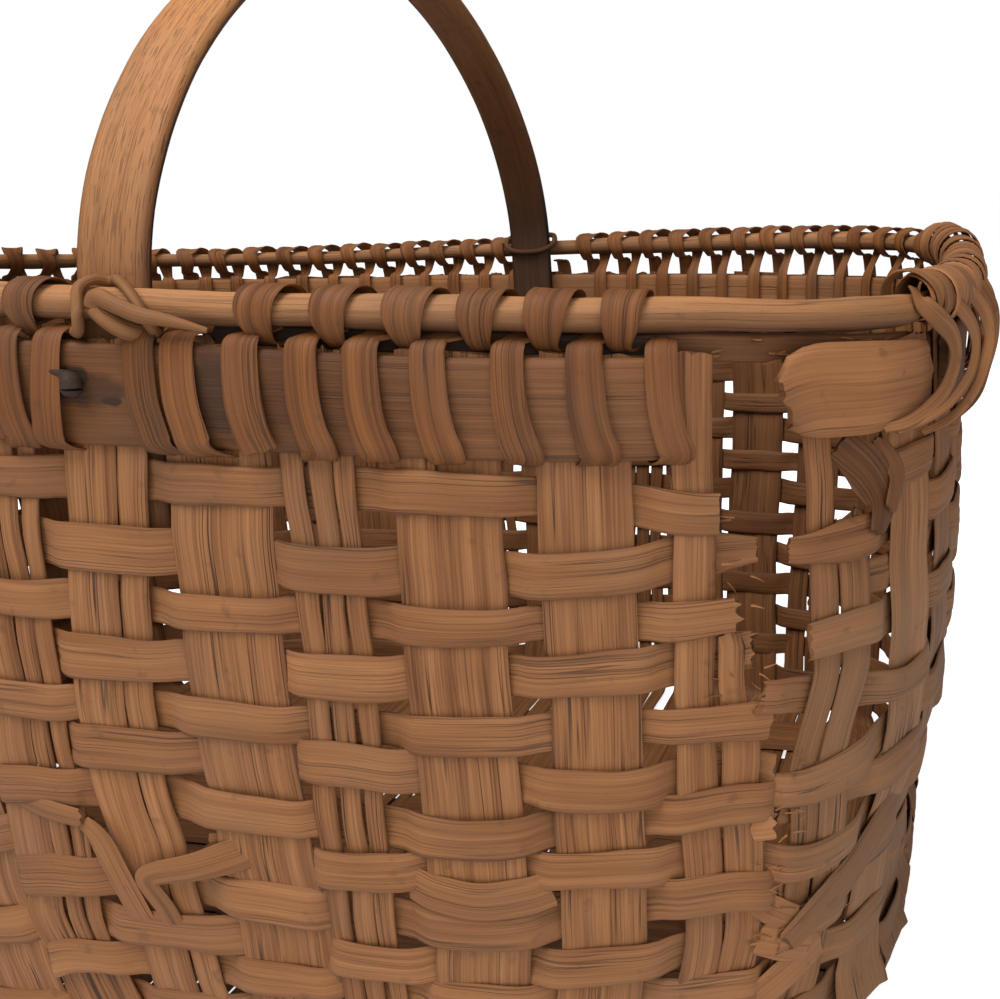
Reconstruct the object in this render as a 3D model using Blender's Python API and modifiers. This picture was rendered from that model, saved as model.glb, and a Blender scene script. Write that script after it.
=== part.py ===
"""Mushroom foraging basket: a rectangular splint basket with a bentwood hoop handle.

Crosswise and lengthwise splints are woven into the floor and fold up as the stakes of the wall.
Weavers go round the stakes, one row each, outside one stake and inside the next. Two flat bands
clamp the stakes' tops, a round rod lies above the bands, and a lashing splint winds round rod and
bands in a figure of eight. The handle is one bent strip, nailed and tied to the rim.

X runs along the length, the near wall faces -Y and Z is up. The origin lies under the middle.
Stakes are counted from the middle of the near wall, first towards +X and then right round.
Sizes are in metres.
"""

import math

import bpy
import numpy as np

# Plan and heights, on the centre line of the wall
RIM_HALF_LENGTH = 0.215
RIM_HALF_WIDTH = 0.159
RIM_EXPONENT = 3.4
LENGTH_TAPER = 0.006
WIDTH_TAPER = 0.008
BASE_EXPONENT = 4
ROD_HEIGHT = 0.2355
WALL_BELLY = 0.004
FAR_RIM_RISE_SHARE = 0.06

# Stakes and floor: how far out the last splint lies, as a share of the floor's half size
CROSSWISE_STAKES = 13
LENGTHWISE_STAKES = 7
CROSSWISE_SPREAD = 0.821
LENGTHWISE_SPREAD = 0.656
CROSSWISE_FLOOR_GAP = 0.0046
STAKE_THICKNESS = 0.0014
FOLD_RADIUS = 0.0065
SPLIT_STAKE_SHARES = {2: 0.75, 5: 0.6}

# Weavers
WEAVER_HEIGHT = 0.012
WEAVER_GAP = 0.0038
WEAVER_THICKNESS = 0.0012
RAMP_MARGIN_SHARE = 0.12
ROWS_PER_LEVEL = 4
FIRST_LAP_STAKE = 24
LAP_STEP = 3

# Break in the near wall, between two stakes: where the bands end, and what each torn row keeps
BREAK_STAKE = 5
BAND_BREAK_SHARES = (0.12, 0.68)
TORN_ROW_SHARES = ((0.15, 0.05), (0.8, 0.3), (0.2, 0.35), (0.6, 0.1), (0.1, 0.3))

# Rim bands and rod
BAND_HEIGHT = 0.0263
BAND_THICKNESS = 0.003
ROD_RADIUS = 0.0043
ROD_TO_BAND = 0.0057

# Lashing, which steps on by half the distance between stakes at each turn
LASH_THICKNESS = 0.0008
LASH_WIDTH = 0.0095
LASH_CLEARANCE = 0.0005
LASH_WAIST_SHARE = 0.4
LASH_STEP_SHARES = (0.02, 0.08, 0.2, 0.36, 0.52, 0.8, 0.98)
BARE_ROD_STEPS = (8, 16)

# Handle
HANDLE_WIDTH = 0.020
HANDLE_THICKNESS = 0.005
HANDLE_RISE = 0.114
HANDLE_EXPONENT = 1.8
HANDLE_TAIL = 0.030
HANDLE_EDGE = 0.001
HANDLE_STEPS = 24

# Nails and ties that hold the handle
NAIL_RADIUS = 0.0011
NAIL_HEAD_RADIUS = 0.003
NAIL_HEAD_THICKNESS = 0.001
NAIL_DROP = 0.019
NAIL_SHIFT_SHARE = -0.25
NAIL_SHORT = 0.001
NAIL_SIDES = 8
TIE_WIDTH = 0.0035
TIE_SLACK = 0.0012

CLEARANCE = 0.0003
OVERRUN = 0.002

UP = np.array([0.0, 0.0, 1.0])
ALONG_X = np.array([1.0, 0.0, 0.0])
ALONG_Y = np.array([0.0, 1.0, 0.0])

WOOD_FINISHES = {
    "stake_wood": (0.36, 0.22, 0.11, 0.75),
    "weaver_wood": (0.42, 0.27, 0.14, 0.75),
    "band_wood": (0.40, 0.25, 0.13, 0.70),
    "rod_wood": (0.45, 0.29, 0.16, 0.70),
    "lashing_wood": (0.24, 0.14, 0.07, 0.85),
    "handle_wood": (0.52, 0.35, 0.20, 0.60),
}
NAIL_FINISH = (0.16, 0.08, 0.05, 0.8)


# Layout of the plan

def superellipse(half_length, half_width, exponent, steps=4000):
    """Points and lengths round a superellipse, from the middle of the near side towards +X."""
    angle = np.linspace(-math.pi / 2, math.pi * 3 / 2, steps + 1)
    power = 2 / exponent
    across = half_length * np.sign(np.cos(angle)) * np.abs(np.cos(angle)) ** power
    along = half_width * np.sign(np.sin(angle)) * np.abs(np.sin(angle)) ** power
    points = np.stack([across, along], axis=1)
    runs = np.hypot(*np.diff(points, axis=0).T)
    return points, np.concatenate([[0.0], np.cumsum(runs)])


RIM_LINE, RIM_LENGTHS = superellipse(RIM_HALF_LENGTH, RIM_HALF_WIDTH, RIM_EXPONENT)
BASE_HALF_LENGTH = RIM_HALF_LENGTH - LENGTH_TAPER
BASE_HALF_WIDTH = RIM_HALF_WIDTH - WIDTH_TAPER
STAKES = 2 * (CROSSWISE_STAKES + LENGTHWISE_STAKES)
QUARTER = STAKES // 4
CROSSWISE_REACH = CROSSWISE_STAKES // 2
LENGTHWISE_REACH = LENGTHWISE_STAKES // 2
STAKE_PITCH = RIM_LENGTHS[-1] / STAKES
LASH_PITCH = STAKE_PITCH / 2
CROSSWISE_PITCH = BASE_HALF_LENGTH * CROSSWISE_SPREAD / CROSSWISE_REACH
LENGTHWISE_PITCH = BASE_HALF_WIDTH * LENGTHWISE_SPREAD / LENGTHWISE_REACH
STAKE_WIDTH = CROSSWISE_PITCH - CROSSWISE_FLOOR_GAP
STAKE_GAP = STAKE_PITCH - STAKE_WIDTH

CROSSWISE_HEIGHT = STAKE_THICKNESS * 1.5 + CLEARANCE
FLOOR_WAVE = STAKE_THICKNESS + CLEARANCE
BAND_TOP = ROD_HEIGHT - ROD_RADIUS - ROD_TO_BAND
BAND_BOTTOM = BAND_TOP - BAND_HEIGHT
FOLD_TOP = CROSSWISE_HEIGHT + FOLD_RADIUS
ROWS = round((BAND_BOTTOM - FOLD_TOP) / (WEAVER_HEIGHT + WEAVER_GAP))
ROW_PITCH = (BAND_BOTTOM - FOLD_TOP) / ROWS
LEVELS = [ROD_HEIGHT]
LEVELS += [BAND_BOTTOM - row * ROW_PITCH for row in range(ROWS_PER_LEVEL, ROWS, ROWS_PER_LEVEL)]
LEVELS += [FOLD_TOP]

BAND_OFFSET = STAKE_THICKNESS / 2 + CLEARANCE + BAND_THICKNESS / 2
BAND_FACE = BAND_OFFSET + BAND_THICKNESS / 2
WEAVER_OFFSET = STAKE_THICKNESS / 2 + CLEARANCE + WEAVER_THICKNESS / 2
LEG_OFFSET = max(ROD_RADIUS, BAND_FACE) + CLEARANCE + HANDLE_THICKNESS / 2
FLAT_REACH = STAKE_WIDTH / 2 + RAMP_MARGIN_SHARE * STAKE_GAP
FOOT_WIDTH = STAKE_GAP - 4 * CLEARANCE


def floor_place(stake):
    """The wall that a stake stands in, and its number in the floor, where the middle one is 0."""
    place = (stake + CROSSWISE_REACH) % STAKES
    if place <= 2 * CROSSWISE_REACH:
        return "near", place - CROSSWISE_REACH
    place -= 2 * CROSSWISE_REACH + 1
    if place <= 2 * LENGTHWISE_REACH:
        return "right", place - LENGTHWISE_REACH
    place -= 2 * LENGTHWISE_REACH + 1
    if place <= 2 * CROSSWISE_REACH:
        return "far", CROSSWISE_REACH - place
    place -= 2 * CROSSWISE_REACH + 1
    return "left", LENGTHWISE_REACH - place


def base_point(stake):
    """Point where a stake leaves the floor."""
    side, number = floor_place(stake)
    crosswise = side in ("near", "far")
    place = number * (CROSSWISE_PITCH if crosswise else LENGTHWISE_PITCH)
    share = abs(place) / (BASE_HALF_LENGTH if crosswise else BASE_HALF_WIDTH)
    reach = BASE_HALF_WIDTH if crosswise else BASE_HALF_LENGTH
    reach *= (1 - share ** BASE_EXPONENT) ** (1 / BASE_EXPONENT)
    facing = -reach if side in ("near", "left") else reach
    return np.array([place, facing] if crosswise else [facing, place])


def rim_frame(stake):
    """Point and direction along the wall at the rim, with the stakes evenly spaced."""
    length = (stake % STAKES) * STAKE_PITCH
    places = [np.interp((length + step) % RIM_LENGTHS[-1], RIM_LENGTHS, RIM_LINE[:, axis])
              for step in (0.0, -LASH_PITCH, LASH_PITCH) for axis in (0, 1)]
    point = np.array(places[0:2])
    along = np.array(places[4:6]) - np.array(places[2:4])
    return point, along / np.linalg.norm(along)


def level_points(stake):
    """A stake's centre line at each level, belly and taper included. Its direction never turns."""
    rim_point, along = rim_frame(stake)
    base = base_point(stake)
    outward = np.array([along[1], -along[0]])
    points = []
    for height in LEVELS:
        share = (ROD_HEIGHT - height) / (ROD_HEIGHT - FOLD_TOP)
        belly = WALL_BELLY * 4 * share * (1 - share)
        points.append(rim_point + (base - rim_point) * share ** 3 + outward * belly)
    return points


LEVEL_POINTS = [level_points(stake) for stake in range(STAKES)]


def stake_frame(stake, height):
    """Centre, direction along the wall and outward direction of a stake at any height."""
    points = np.array(LEVEL_POINTS[stake % STAKES])[::-1]
    centre = [np.interp(height, LEVELS[::-1], points[:, axis]) for axis in (0, 1)]
    along = np.append(rim_frame(stake)[1], 0.0)
    return np.array([*centre, height]), along, np.cross(along, UP)


def half_step_frame(step, height):
    """The same at a stake for an even step, and at the middle of the gap after it for an odd one."""
    centre, along, outward = stake_frame(step // 2, height)
    if step % 2 == 0:
        return centre, along, outward
    next_centre, next_along, next_outward = stake_frame(step // 2 + 1, height)
    middle = (centre + along * FLAT_REACH + next_centre - next_along * FLAT_REACH) / 2
    along = along + next_along
    outward = outward + next_outward
    return middle, along / np.linalg.norm(along), outward / np.linalg.norm(outward)


def rim_course(step, offset, height):
    """Point and direction along the rim at any step, offset outwards from the wall's centre line."""
    first = math.floor(step)
    share = step - first
    (start, along, outward), (end, next_along, next_outward) = (
        half_step_frame(first + extra, height) for extra in (0, 1))
    point = (1 - share) * (start + outward * offset) + share * (end + next_outward * offset)
    direction = (1 - share) * along + share * next_along
    return point, direction / np.linalg.norm(direction)


def settle(points):
    """The old basket has twisted: towards +X its far rim stands higher, towards -X lower."""
    moved = np.array(points, dtype=float)
    reach = 0.5 + 0.5 * moved[..., 1] / RIM_HALF_WIDTH
    lift = FAR_RIM_RISE_SHARE * moved[..., 0] * reach ** 2 * moved[..., 2] / ROD_HEIGHT
    moved[..., 2] += lift
    return moved


# Materials and making of pieces

def make_material(name, red, green, blue, roughness, metallic=0.0):
    material = bpy.data.materials.new(name)
    material.use_nodes = True
    shader = material.node_tree.nodes["Principled BSDF"]
    shader.inputs["Base Color"].default_value = (red, green, blue, 1.0)
    shader.inputs["Roughness"].default_value = roughness
    shader.inputs["Metallic"].default_value = metallic
    return material


def add_piece(name, data, material, collection):
    """Put a mesh or curve into the scene as the sub-part of that name."""
    data.materials.append(material)
    piece = bpy.data.objects.new(name, data)
    collection.objects.link(piece)
    return piece


def add_splint(name, first_edge, second_edge, thickness, material, collection, slots=(None, None)):
    """A flat strip between two edge lines, given its thickness by Solidify.

    A slot, as a pair of shares of the width, splits that end of the strip to its second station.
    """
    first_edge, second_edge = settle(first_edge), settle(second_edge)
    count = len(first_edge)
    vertices = [tuple(point) for pair in zip(first_edge, second_edge) for point in pair]
    faces = [(2 * i, 2 * i + 1, 2 * i + 3, 2 * i + 2) for i in range(count - 1)]
    for slot, end, inner, past in ((slots[0], 0, 1, 2), (slots[1], count - 1, count - 2, count - 3)):
        if slot is None:
            continue
        faces = [face for face in faces if 2 * inner not in face]
        corners = [len(vertices) + corner for corner in range(4)]
        vertices += [tuple(first_edge[station] * (1 - share) + second_edge[station] * share)
                     for station in (end, inner) for share in slot]
        added = [(2 * end, corners[0], corners[2], 2 * inner),
                 (corners[1], 2 * end + 1, 2 * inner + 1, corners[3]),
                 (2 * inner, corners[2], corners[3], 2 * inner + 1, 2 * past + 1, 2 * past)]
        faces += added if end == 0 else [face[::-1] for face in added]
    mesh = bpy.data.meshes.new(name)
    mesh.from_pydata(vertices, [], faces)
    mesh.update()
    piece = add_piece(name, mesh, material, collection)
    wall = piece.modifiers.new("Thickness", "SOLIDIFY")
    wall.thickness = thickness
    wall.offset = 0.0
    wall.use_even_offset = True
    return piece


# Stakes

def is_lashed(stake):
    """Whether the lashing passes through the top of this stake."""
    bare_start, bare_end = BARE_ROD_STEPS
    step = 2 * (stake % STAKES)
    return step not in (0, STAKES) and not bare_start <= step < bare_end


def wall_part(stake, width_share=1.0):
    """A stake from its top to the floor, as pairs of edge points, and the slot in its top.

    A narrow stake has lost its right side. The last pair lies square across the floor.
    """
    left = -STAKE_WIDTH / 2
    right = left + STAKE_WIDTH * width_share
    slot_foot = BAND_BOTTOM - LASH_THICKNESS - 2 * LASH_CLEARANCE
    side, _ = floor_place(stake)
    inward, across = {"near": (ALONG_Y, ALONG_X), "right": (-ALONG_X, ALONG_Y),
                      "far": (-ALONG_Y, -ALONG_X), "left": (ALONG_X, -ALONG_Y)}[side]
    stations = [stake_frame(stake, height)[:2] for height in [BAND_TOP, slot_foot] + LEVELS[1:]]
    centre, along = stations[-1]
    for turn in (math.pi / 4, math.pi / 2):
        reach = (1 - math.cos(turn)) * FOLD_RADIUS
        stations.append((centre + inward * reach - UP * math.sin(turn) * FOLD_RADIUS, along))
    if side in ("near", "far"):
        slant = abs(np.dot(along, inward)) * STAKE_WIDTH / 2 + FOLD_RADIUS
        stations.append((stations[-1][0] + inward * slant, across))
    edges = [(point + direction * left, point + direction * right) for point, direction in stations]
    half_slot = FOOT_WIDTH / 2 + CLEARANCE
    slot = tuple((place - left) / (right - left) for place in (-half_slot, half_slot))
    return edges, slot if is_lashed(stake) else None


def add_stake(name, first_part, floor, last_part, material, collection):
    """One splint: a wall part, its stretch of the floor and the wall part at its other end."""
    (edges, first_slot), (last_edges, last_slot) = first_part, last_part
    edges = edges + floor + [(right, left) for left, right in last_edges[::-1]]
    first, second = (np.array([pair[side] for pair in edges]) for side in (0, 1))
    if last_slot:
        last_slot = (1 - last_slot[1], 1 - last_slot[0])
    return add_splint(name, first, second, STAKE_THICKNESS, material, collection,
                      (first_slot, last_slot))


def make_crosswise_stakes(material, collection):
    """Splints across the floor that stay straight there and rise as stakes of both long walls."""
    return {number: add_stake(f"crosswise_stake_{number + CROSSWISE_REACH + 1:02d}",
                              wall_part(number, SPLIT_STAKE_SHARES.get(number, 1.0)), [],
                              wall_part(STAKES // 2 - number), material, collection)
            for number in range(-CROSSWISE_REACH, CROSSWISE_REACH + 1)}


def make_lengthwise_stakes(material, collection):
    """Splints along the floor, woven over and under the crosswise ones, that rise at both ends."""
    reach = STAKE_WIDTH / 2 + RAMP_MARGIN_SHARE * CROSSWISE_FLOOR_GAP
    half = ALONG_Y * STAKE_WIDTH / 2
    for number in range(-LENGTHWISE_REACH, LENGTHWISE_REACH + 1):
        floor = []
        for crossing in range(CROSSWISE_REACH, -CROSSWISE_REACH - 1, -1):
            wave = FLOOR_WAVE if (crossing + number) % 2 == 0 else -FLOOR_WAVE
            for side in (reach, -reach):
                place = np.array([crossing * CROSSWISE_PITCH + side, number * LENGTHWISE_PITCH,
                                  CROSSWISE_HEIGHT + wave])
                floor.append((place - half, place + half))
        add_stake(f"lengthwise_stake_{number + LENGTHWISE_REACH + 1}",
                  wall_part(QUARTER + number), floor, wall_part(3 * QUARTER - number),
                  material, collection)


# Weavers

def weaver_stations(row):
    """Stakes that a row passes, in order, with its reach past each side and its offset there."""
    def passing(stake):
        return WEAVER_OFFSET if (stake + row) % 2 == 0 else -WEAVER_OFFSET

    if row <= len(TORN_ROW_SHARES):
        left_stub, right_stub = TORN_ROW_SHARES[row - 1]
        first = BREAK_STAKE + 1
        last = BREAK_STAKE + STAKES
        ends = (STAKE_WIDTH / 2 + right_stub * STAKE_GAP / 2,
                STAKE_WIDTH / 2 + left_stub * STAKE_GAP / 2)
        lap = 0.0
    else:
        first = FIRST_LAP_STAKE + LAP_STEP * row
        first += (first + row) % 2
        last = first + STAKES
        ends = (STAKE_WIDTH / 2 - WEAVER_THICKNESS, STAKE_WIDTH / 2)
        lap = WEAVER_THICKNESS + CLEARANCE
    stations = []
    for stake in range(first, last + 1):
        before = ends[0] if stake == first else FLAT_REACH
        after = ends[1] if stake == last else FLAT_REACH
        offset = passing(stake) + (lap if stake == last else 0.0)
        stations += [(stake, -before, offset), (stake, after, offset)]
    return stations


def make_weavers(material, collection):
    """Rows of the wall, counted from the top. The torn rows stop at the break, the rest lap."""
    for row in range(1, ROWS + 1):
        middle = BAND_BOTTOM - (row - 0.5) * ROW_PITCH
        edges = []
        for height in (middle - WEAVER_HEIGHT / 2, middle + WEAVER_HEIGHT / 2):
            line = []
            for stake, reach, offset in weaver_stations(row):
                centre, along, outward = stake_frame(stake, height)
                line.append(centre + along * reach + outward * offset)
            edges.append(np.array(line))
        add_splint(f"weaver_{row:02d}", edges[0], edges[1], WEAVER_THICKNESS, material, collection)


# Rim

def make_band(name, offset, material, collection):
    """A flat hoop on one side of the stakes, broken where the near wall is torn."""
    left_share, right_share = BAND_BREAK_SHARES
    break_start = STAKE_WIDTH / 2 + left_share * STAKE_GAP
    break_end = STAKE_WIDTH / 2 + (1 - right_share) * STAKE_GAP
    edges = []
    for height in (BAND_BOTTOM, BAND_TOP):
        line = []
        for stake in range(BREAK_STAKE + 1, BREAK_STAKE + STAKES + 1):
            before = break_end if stake == BREAK_STAKE + 1 else FLAT_REACH
            after = break_start if stake == BREAK_STAKE + STAKES else FLAT_REACH
            centre, along, outward = stake_frame(stake, height)
            line += [centre - along * before + outward * offset,
                     centre + along * after + outward * offset]
        edges.append(np.array(line))
    return add_splint(name, edges[0], edges[1], BAND_THICKNESS, material, collection)


def make_rod(material, collection):
    """The round rod that lies above the bands, one closed hoop."""
    points = settle([rim_course(step, 0.0, ROD_HEIGHT)[0] for step in range(2 * STAKES)])
    curve = bpy.data.curves.new("rim_rod", "CURVE")
    curve.dimensions = "3D"
    curve.bevel_depth = ROD_RADIUS
    curve.bevel_resolution = 1
    spline = curve.splines.new("POLY")
    spline.points.add(len(points) - 1)
    for place, point in zip(spline.points, points):
        place.co = (*point, 1.0)
    spline.use_cyclic_u = True
    return add_piece("rim_rod", curve, material, collection)


# Lashing

def figure_of_eight():
    """One turn of the lashing: share of a step, offset, height over the rod's centre and width.

    The splint stands on the outer band, crosses under the rod to its inner side, goes over the rod
    and down its outer side, crosses back inside, runs down the inner band and passes below both.
    """
    half = LASH_THICKNESS / 2 + LASH_CLEARANCE
    reach = BAND_FACE + half
    loop = ROD_RADIUS + half
    waist = BAND_TOP - ROD_HEIGHT + half
    foot = BAND_BOTTOM - ROD_HEIGHT - half
    start = math.atan2(waist, reach) - math.acos(loop / math.hypot(waist, reach))
    sweep = -math.pi - 2 * start - 2 * math.pi
    corners = len(LASH_STEP_SHARES) - 4
    angles = [start + sweep * (corner + 0.5) / corners for corner in range(corners)]
    corner_reach = loop / math.cos(sweep / corners / 2)
    narrow = LASH_WAIST_SHARE * LASH_PITCH
    places = [(reach, foot, FOOT_WIDTH), (reach, waist, narrow)]
    places += [(corner_reach * math.cos(angle), corner_reach * math.sin(angle),
                narrow if corner in (0, corners - 1) else LASH_WIDTH)
               for corner, angle in enumerate(angles)]
    places += [(-reach, waist, narrow), (-reach, foot, FOOT_WIDTH)]
    return [(share, *place) for share, place in zip(LASH_STEP_SHARES, places)]


def lash_edges(first_step, last_step):
    """Edge lines of a lashing splint: it starts outside below the band and ends inside there."""
    turn = figure_of_eight()
    stations = [(step + share, offset, rise, width) for step in range(first_step, last_step)
                for share, offset, rise, width in turn]
    edges = []
    for step, offset, rise, width in stations:
        point, along = rim_course(step, offset, ROD_HEIGHT + rise)
        edges.append((point - along * width / 2, point + along * width / 2))
    return (np.array([pair[side] for pair in edges]) for side in (0, 1))


def least_turn_gap(first_edge, second_edge, turn_stations, samples=4):
    """Least distance between a turn's trailing edge and the next turn's leading edge, on points."""
    def refined(line):
        shares = np.linspace(0, 1, samples, endpoint=False)[:, None, None]
        return (line[:-1] * (1 - shares) + line[1:] * shares).transpose(1, 0, 2).reshape(-1, 3)

    trailing, leading = refined(second_edge), refined(first_edge)
    span = turn_stations * samples
    gaps = []
    for start in range(0, len(trailing) - span, span):
        ahead = leading[start + span:start + 2 * span]
        apart = np.linalg.norm(trailing[start:start + span, None] - ahead[None], axis=2)
        gaps.append(apart.min())
    return min(gaps) - LASH_THICKNESS


def make_lashings(material, collection):
    """Four lashing splints, which leave the handle's legs and the bare stretch of rod free."""
    bare_start, bare_end = BARE_ROD_STEPS
    runs = {"lashing_near_right": (1, bare_start), "lashing_right": (bare_end, STAKES - 1),
            "lashing_far_left": (STAKES + 1, 3 * STAKES // 2),
            "lashing_near_left": (3 * STAKES // 2, 2 * STAKES - 1)}
    for name, (first_step, last_step) in runs.items():
        first_edge, second_edge = lash_edges(first_step, last_step)
        gap = least_turn_gap(first_edge, second_edge, len(LASH_STEP_SHARES))
        print(f"{name}: least gap between turns {gap * 1000:.2f} mm")
        add_splint(name, first_edge, second_edge, LASH_THICKNESS, material, collection)


# Handle

def make_handle(material, collection):
    """One strip: tail, leg, arch and the same again, with its legs inside the rod and the bands."""
    heights = [BAND_BOTTOM - HANDLE_TAIL, BAND_BOTTOM, ROD_HEIGHT]
    near, far = [], []
    for line, stake in ((near, 0), (far, STAKES // 2)):
        for height in heights:
            centre, _, outward = stake_frame(stake, height)
            line.append(centre - outward * LEG_OFFSET)
    half_span = -near[-1][1]
    arch = []
    for step in range(1, HANDLE_STEPS):
        angle = math.pi * step / HANDLE_STEPS
        side = np.sign(-math.cos(angle)) * abs(math.cos(angle)) ** (2 / HANDLE_EXPONENT)
        rise = HANDLE_RISE * math.sin(angle) ** (2 / HANDLE_EXPONENT)
        arch.append(np.array([0.0, half_span * side, ROD_HEIGHT + rise]))
    line = np.array(near + arch + far[::-1])
    half = ALONG_X * HANDLE_WIDTH / 2
    handle = add_splint("hoop_handle", line - half, line + half, HANDLE_THICKNESS, material, collection)
    edges = handle.modifiers.new("Eased edges", "BEVEL")
    edges.width = HANDLE_EDGE
    edges.segments = 1
    edges.limit_method = "ANGLE"
    edges.angle_limit = math.radians(60)
    return handle


def make_nail(name, facing, pieces, material, collection, cutters):
    """A nail through outer band, stake, inner band and leg, in holes with a little clearance."""
    stake = 0 if facing < 0 else STAKES // 2
    centre, _, outward = stake_frame(stake, ROD_HEIGHT - NAIL_DROP)
    face = centre + outward * (BAND_FACE + CLEARANCE) + ALONG_X * NAIL_SHIFT_SHARE * HANDLE_WIDTH
    depth = BAND_FACE + CLEARANCE + LEG_OFFSET + HANDLE_THICKNESS / 2
    turn = (math.pi / 2, 0.0, math.pi if facing > 0 else 0.0)

    def rounded(label, profile, group):
        """A turned solid about the nail's axis, from (radius, distance out of the face) pairs."""
        mesh = bpy.data.meshes.new(label)
        points = [(radius, 0.0, out) for radius, out in profile]
        mesh.from_pydata(points, [(i, i + 1) for i in range(len(points) - 1)], [])
        piece = bpy.data.objects.new(label, mesh)
        group.objects.link(piece)
        piece.location = settle(face)
        piece.rotation_euler = turn
        screw = piece.modifiers.new("Turned", "SCREW")
        screw.steps = NAIL_SIDES
        screw.render_steps = NAIL_SIDES
        screw.use_merge_vertices = True
        screw.merge_threshold = 0.00001
        return piece

    shank_end = NAIL_SHORT - depth
    nail = rounded(name, [(0.0, NAIL_HEAD_THICKNESS), (NAIL_HEAD_RADIUS, NAIL_HEAD_THICKNESS),
                          (NAIL_HEAD_RADIUS, 0.0), (NAIL_RADIUS, 0.0), (NAIL_RADIUS, shank_end),
                          (0.0, shank_end)], collection)
    nail.data.materials.append(material)
    hole = NAIL_RADIUS + CLEARANCE
    cutter = rounded(f"{name}_hole", [(0.0, OVERRUN), (hole, OVERRUN), (hole, -depth - OVERRUN),
                                      (0.0, -depth - OVERRUN)], cutters)
    cutter.hide_render = True
    cutter.display_type = "WIRE"
    for piece in pieces:
        cut = piece.modifiers.new(f"{name} hole", "BOOLEAN")
        cut.operation = "DIFFERENCE"
        cut.solver = "EXACT"
        cut.object = cutter


def make_tie(name, stake, material, collection):
    """A splint wound one and a half times round the crossing of rod and leg, on the diagonal."""
    gap = LASH_CLEARANCE + LASH_THICKNESS / 2
    layer = LASH_THICKNESS + LASH_CLEARANCE
    front = ROD_RADIUS + gap
    back = LEG_OFFSET + HANDLE_THICKNESS / 2 + gap + TIE_SLACK
    rise = ROD_RADIUS + ROD_TO_BAND / 2
    run = HANDLE_WIDTH / 2 + gap + TIE_WIDTH / 2
    side = math.hypot(run, rise)
    centre, along, outward = stake_frame(stake, ROD_HEIGHT)
    diagonal = (along * run + UP * rise) / side
    across = (UP * run - along * rise) / side
    loop = [(layer - side, front), (side, front), (side, -back), (-side, -back),
            (-side, front + layer), (side - layer, front + layer)]
    places = [centre + diagonal * reach + outward * offset for reach, offset in loop]
    first_edge, second_edge = (np.array([place + across * half for place in places])
                               for half in (-TIE_WIDTH / 2, TIE_WIDTH / 2))
    add_splint(name, first_edge, second_edge, LASH_THICKNESS, material, collection)


def main():
    for leftover in list(bpy.data.objects):
        bpy.data.objects.remove(leftover, do_unlink=True)
    basket = bpy.data.collections.new("mushroom_foraging_basket")
    cutters = bpy.data.collections.new("cutters")
    for collection in (basket, cutters):
        bpy.context.scene.collection.children.link(collection)
    wood = {name: make_material(name, *finish) for name, finish in WOOD_FINISHES.items()}
    iron = make_material("nail_iron", *NAIL_FINISH, metallic=0.9)

    stakes = make_crosswise_stakes(wood["stake_wood"], basket)
    make_lengthwise_stakes(wood["stake_wood"], basket)
    make_weavers(wood["weaver_wood"], basket)
    outer_band = make_band("outer_rim_band", BAND_OFFSET, wood["band_wood"], basket)
    inner_band = make_band("inner_rim_band", -BAND_OFFSET, wood["band_wood"], basket)
    make_rod(wood["rod_wood"], basket)
    make_lashings(wood["lashing_wood"], basket)
    handle = make_handle(wood["handle_wood"], basket)
    held = [outer_band, stakes[0], inner_band, handle]
    make_nail("handle_nail_near", -1, held, iron, basket, cutters)
    make_nail("handle_nail_far", 1, held, iron, basket, cutters)
    make_tie("handle_tie_near", 0, wood["lashing_wood"], basket)
    make_tie("handle_tie_far", STAKES // 2, wood["lashing_wood"], basket)


main()
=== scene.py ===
"""Old mushroom foraging basket: the looks of its splints, lashed rim and bentwood handle.

Each solid is replaced by a finer piece in the same place. A splint is a ribbon: a flat section
carried along a line that is worked out on the basket's wall. The wall is a surface of three
values, which are the place along the rim in stakes, the height and the offset outwards.
Stake 0 stands in the middle of the near wall, and the stakes are counted towards +X.
Sizes are in metres.
"""

import math

import bpy
import numpy as np
from mathutils import Matrix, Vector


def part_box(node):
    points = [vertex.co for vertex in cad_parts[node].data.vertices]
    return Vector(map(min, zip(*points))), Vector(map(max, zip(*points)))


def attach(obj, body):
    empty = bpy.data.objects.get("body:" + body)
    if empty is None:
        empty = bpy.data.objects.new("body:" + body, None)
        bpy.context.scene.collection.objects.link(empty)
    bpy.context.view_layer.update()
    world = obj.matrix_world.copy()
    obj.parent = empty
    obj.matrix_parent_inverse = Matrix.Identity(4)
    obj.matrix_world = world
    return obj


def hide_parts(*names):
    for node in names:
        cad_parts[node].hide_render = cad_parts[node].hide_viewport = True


bl_info = {
    "name": "Mushroom foraging basket",
    "version": (1, 0, 0),
    "blender": (4, 5, 0),
    "location": "3D View > Sidebar > Basket",
    "description": "Builds an old splint basket with a lashed rim and a bentwood handle",
    "category": "Object",
}

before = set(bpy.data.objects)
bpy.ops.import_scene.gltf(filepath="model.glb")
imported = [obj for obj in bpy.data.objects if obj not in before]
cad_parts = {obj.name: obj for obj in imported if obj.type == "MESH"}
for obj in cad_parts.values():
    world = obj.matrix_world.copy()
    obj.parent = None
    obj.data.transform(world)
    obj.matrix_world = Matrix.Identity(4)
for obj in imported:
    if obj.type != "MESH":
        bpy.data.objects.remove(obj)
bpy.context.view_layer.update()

# The basket's layout, as its solids have it
CROSSWISE = sum(name.startswith("crosswise_stake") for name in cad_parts)
LENGTHWISE = sum(name.startswith("lengthwise_stake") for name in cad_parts)
ROWS = sum(name.startswith("weaver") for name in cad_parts)
STAKES = 2 * (CROSSWISE + LENGTHWISE)
ROD_LOW, ROD_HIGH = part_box("rim_rod")
ROD_RADIUS = 0.0043
RIM_EXPONENT = 3.4
BASE_HALF_LENGTH = 0.209
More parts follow.
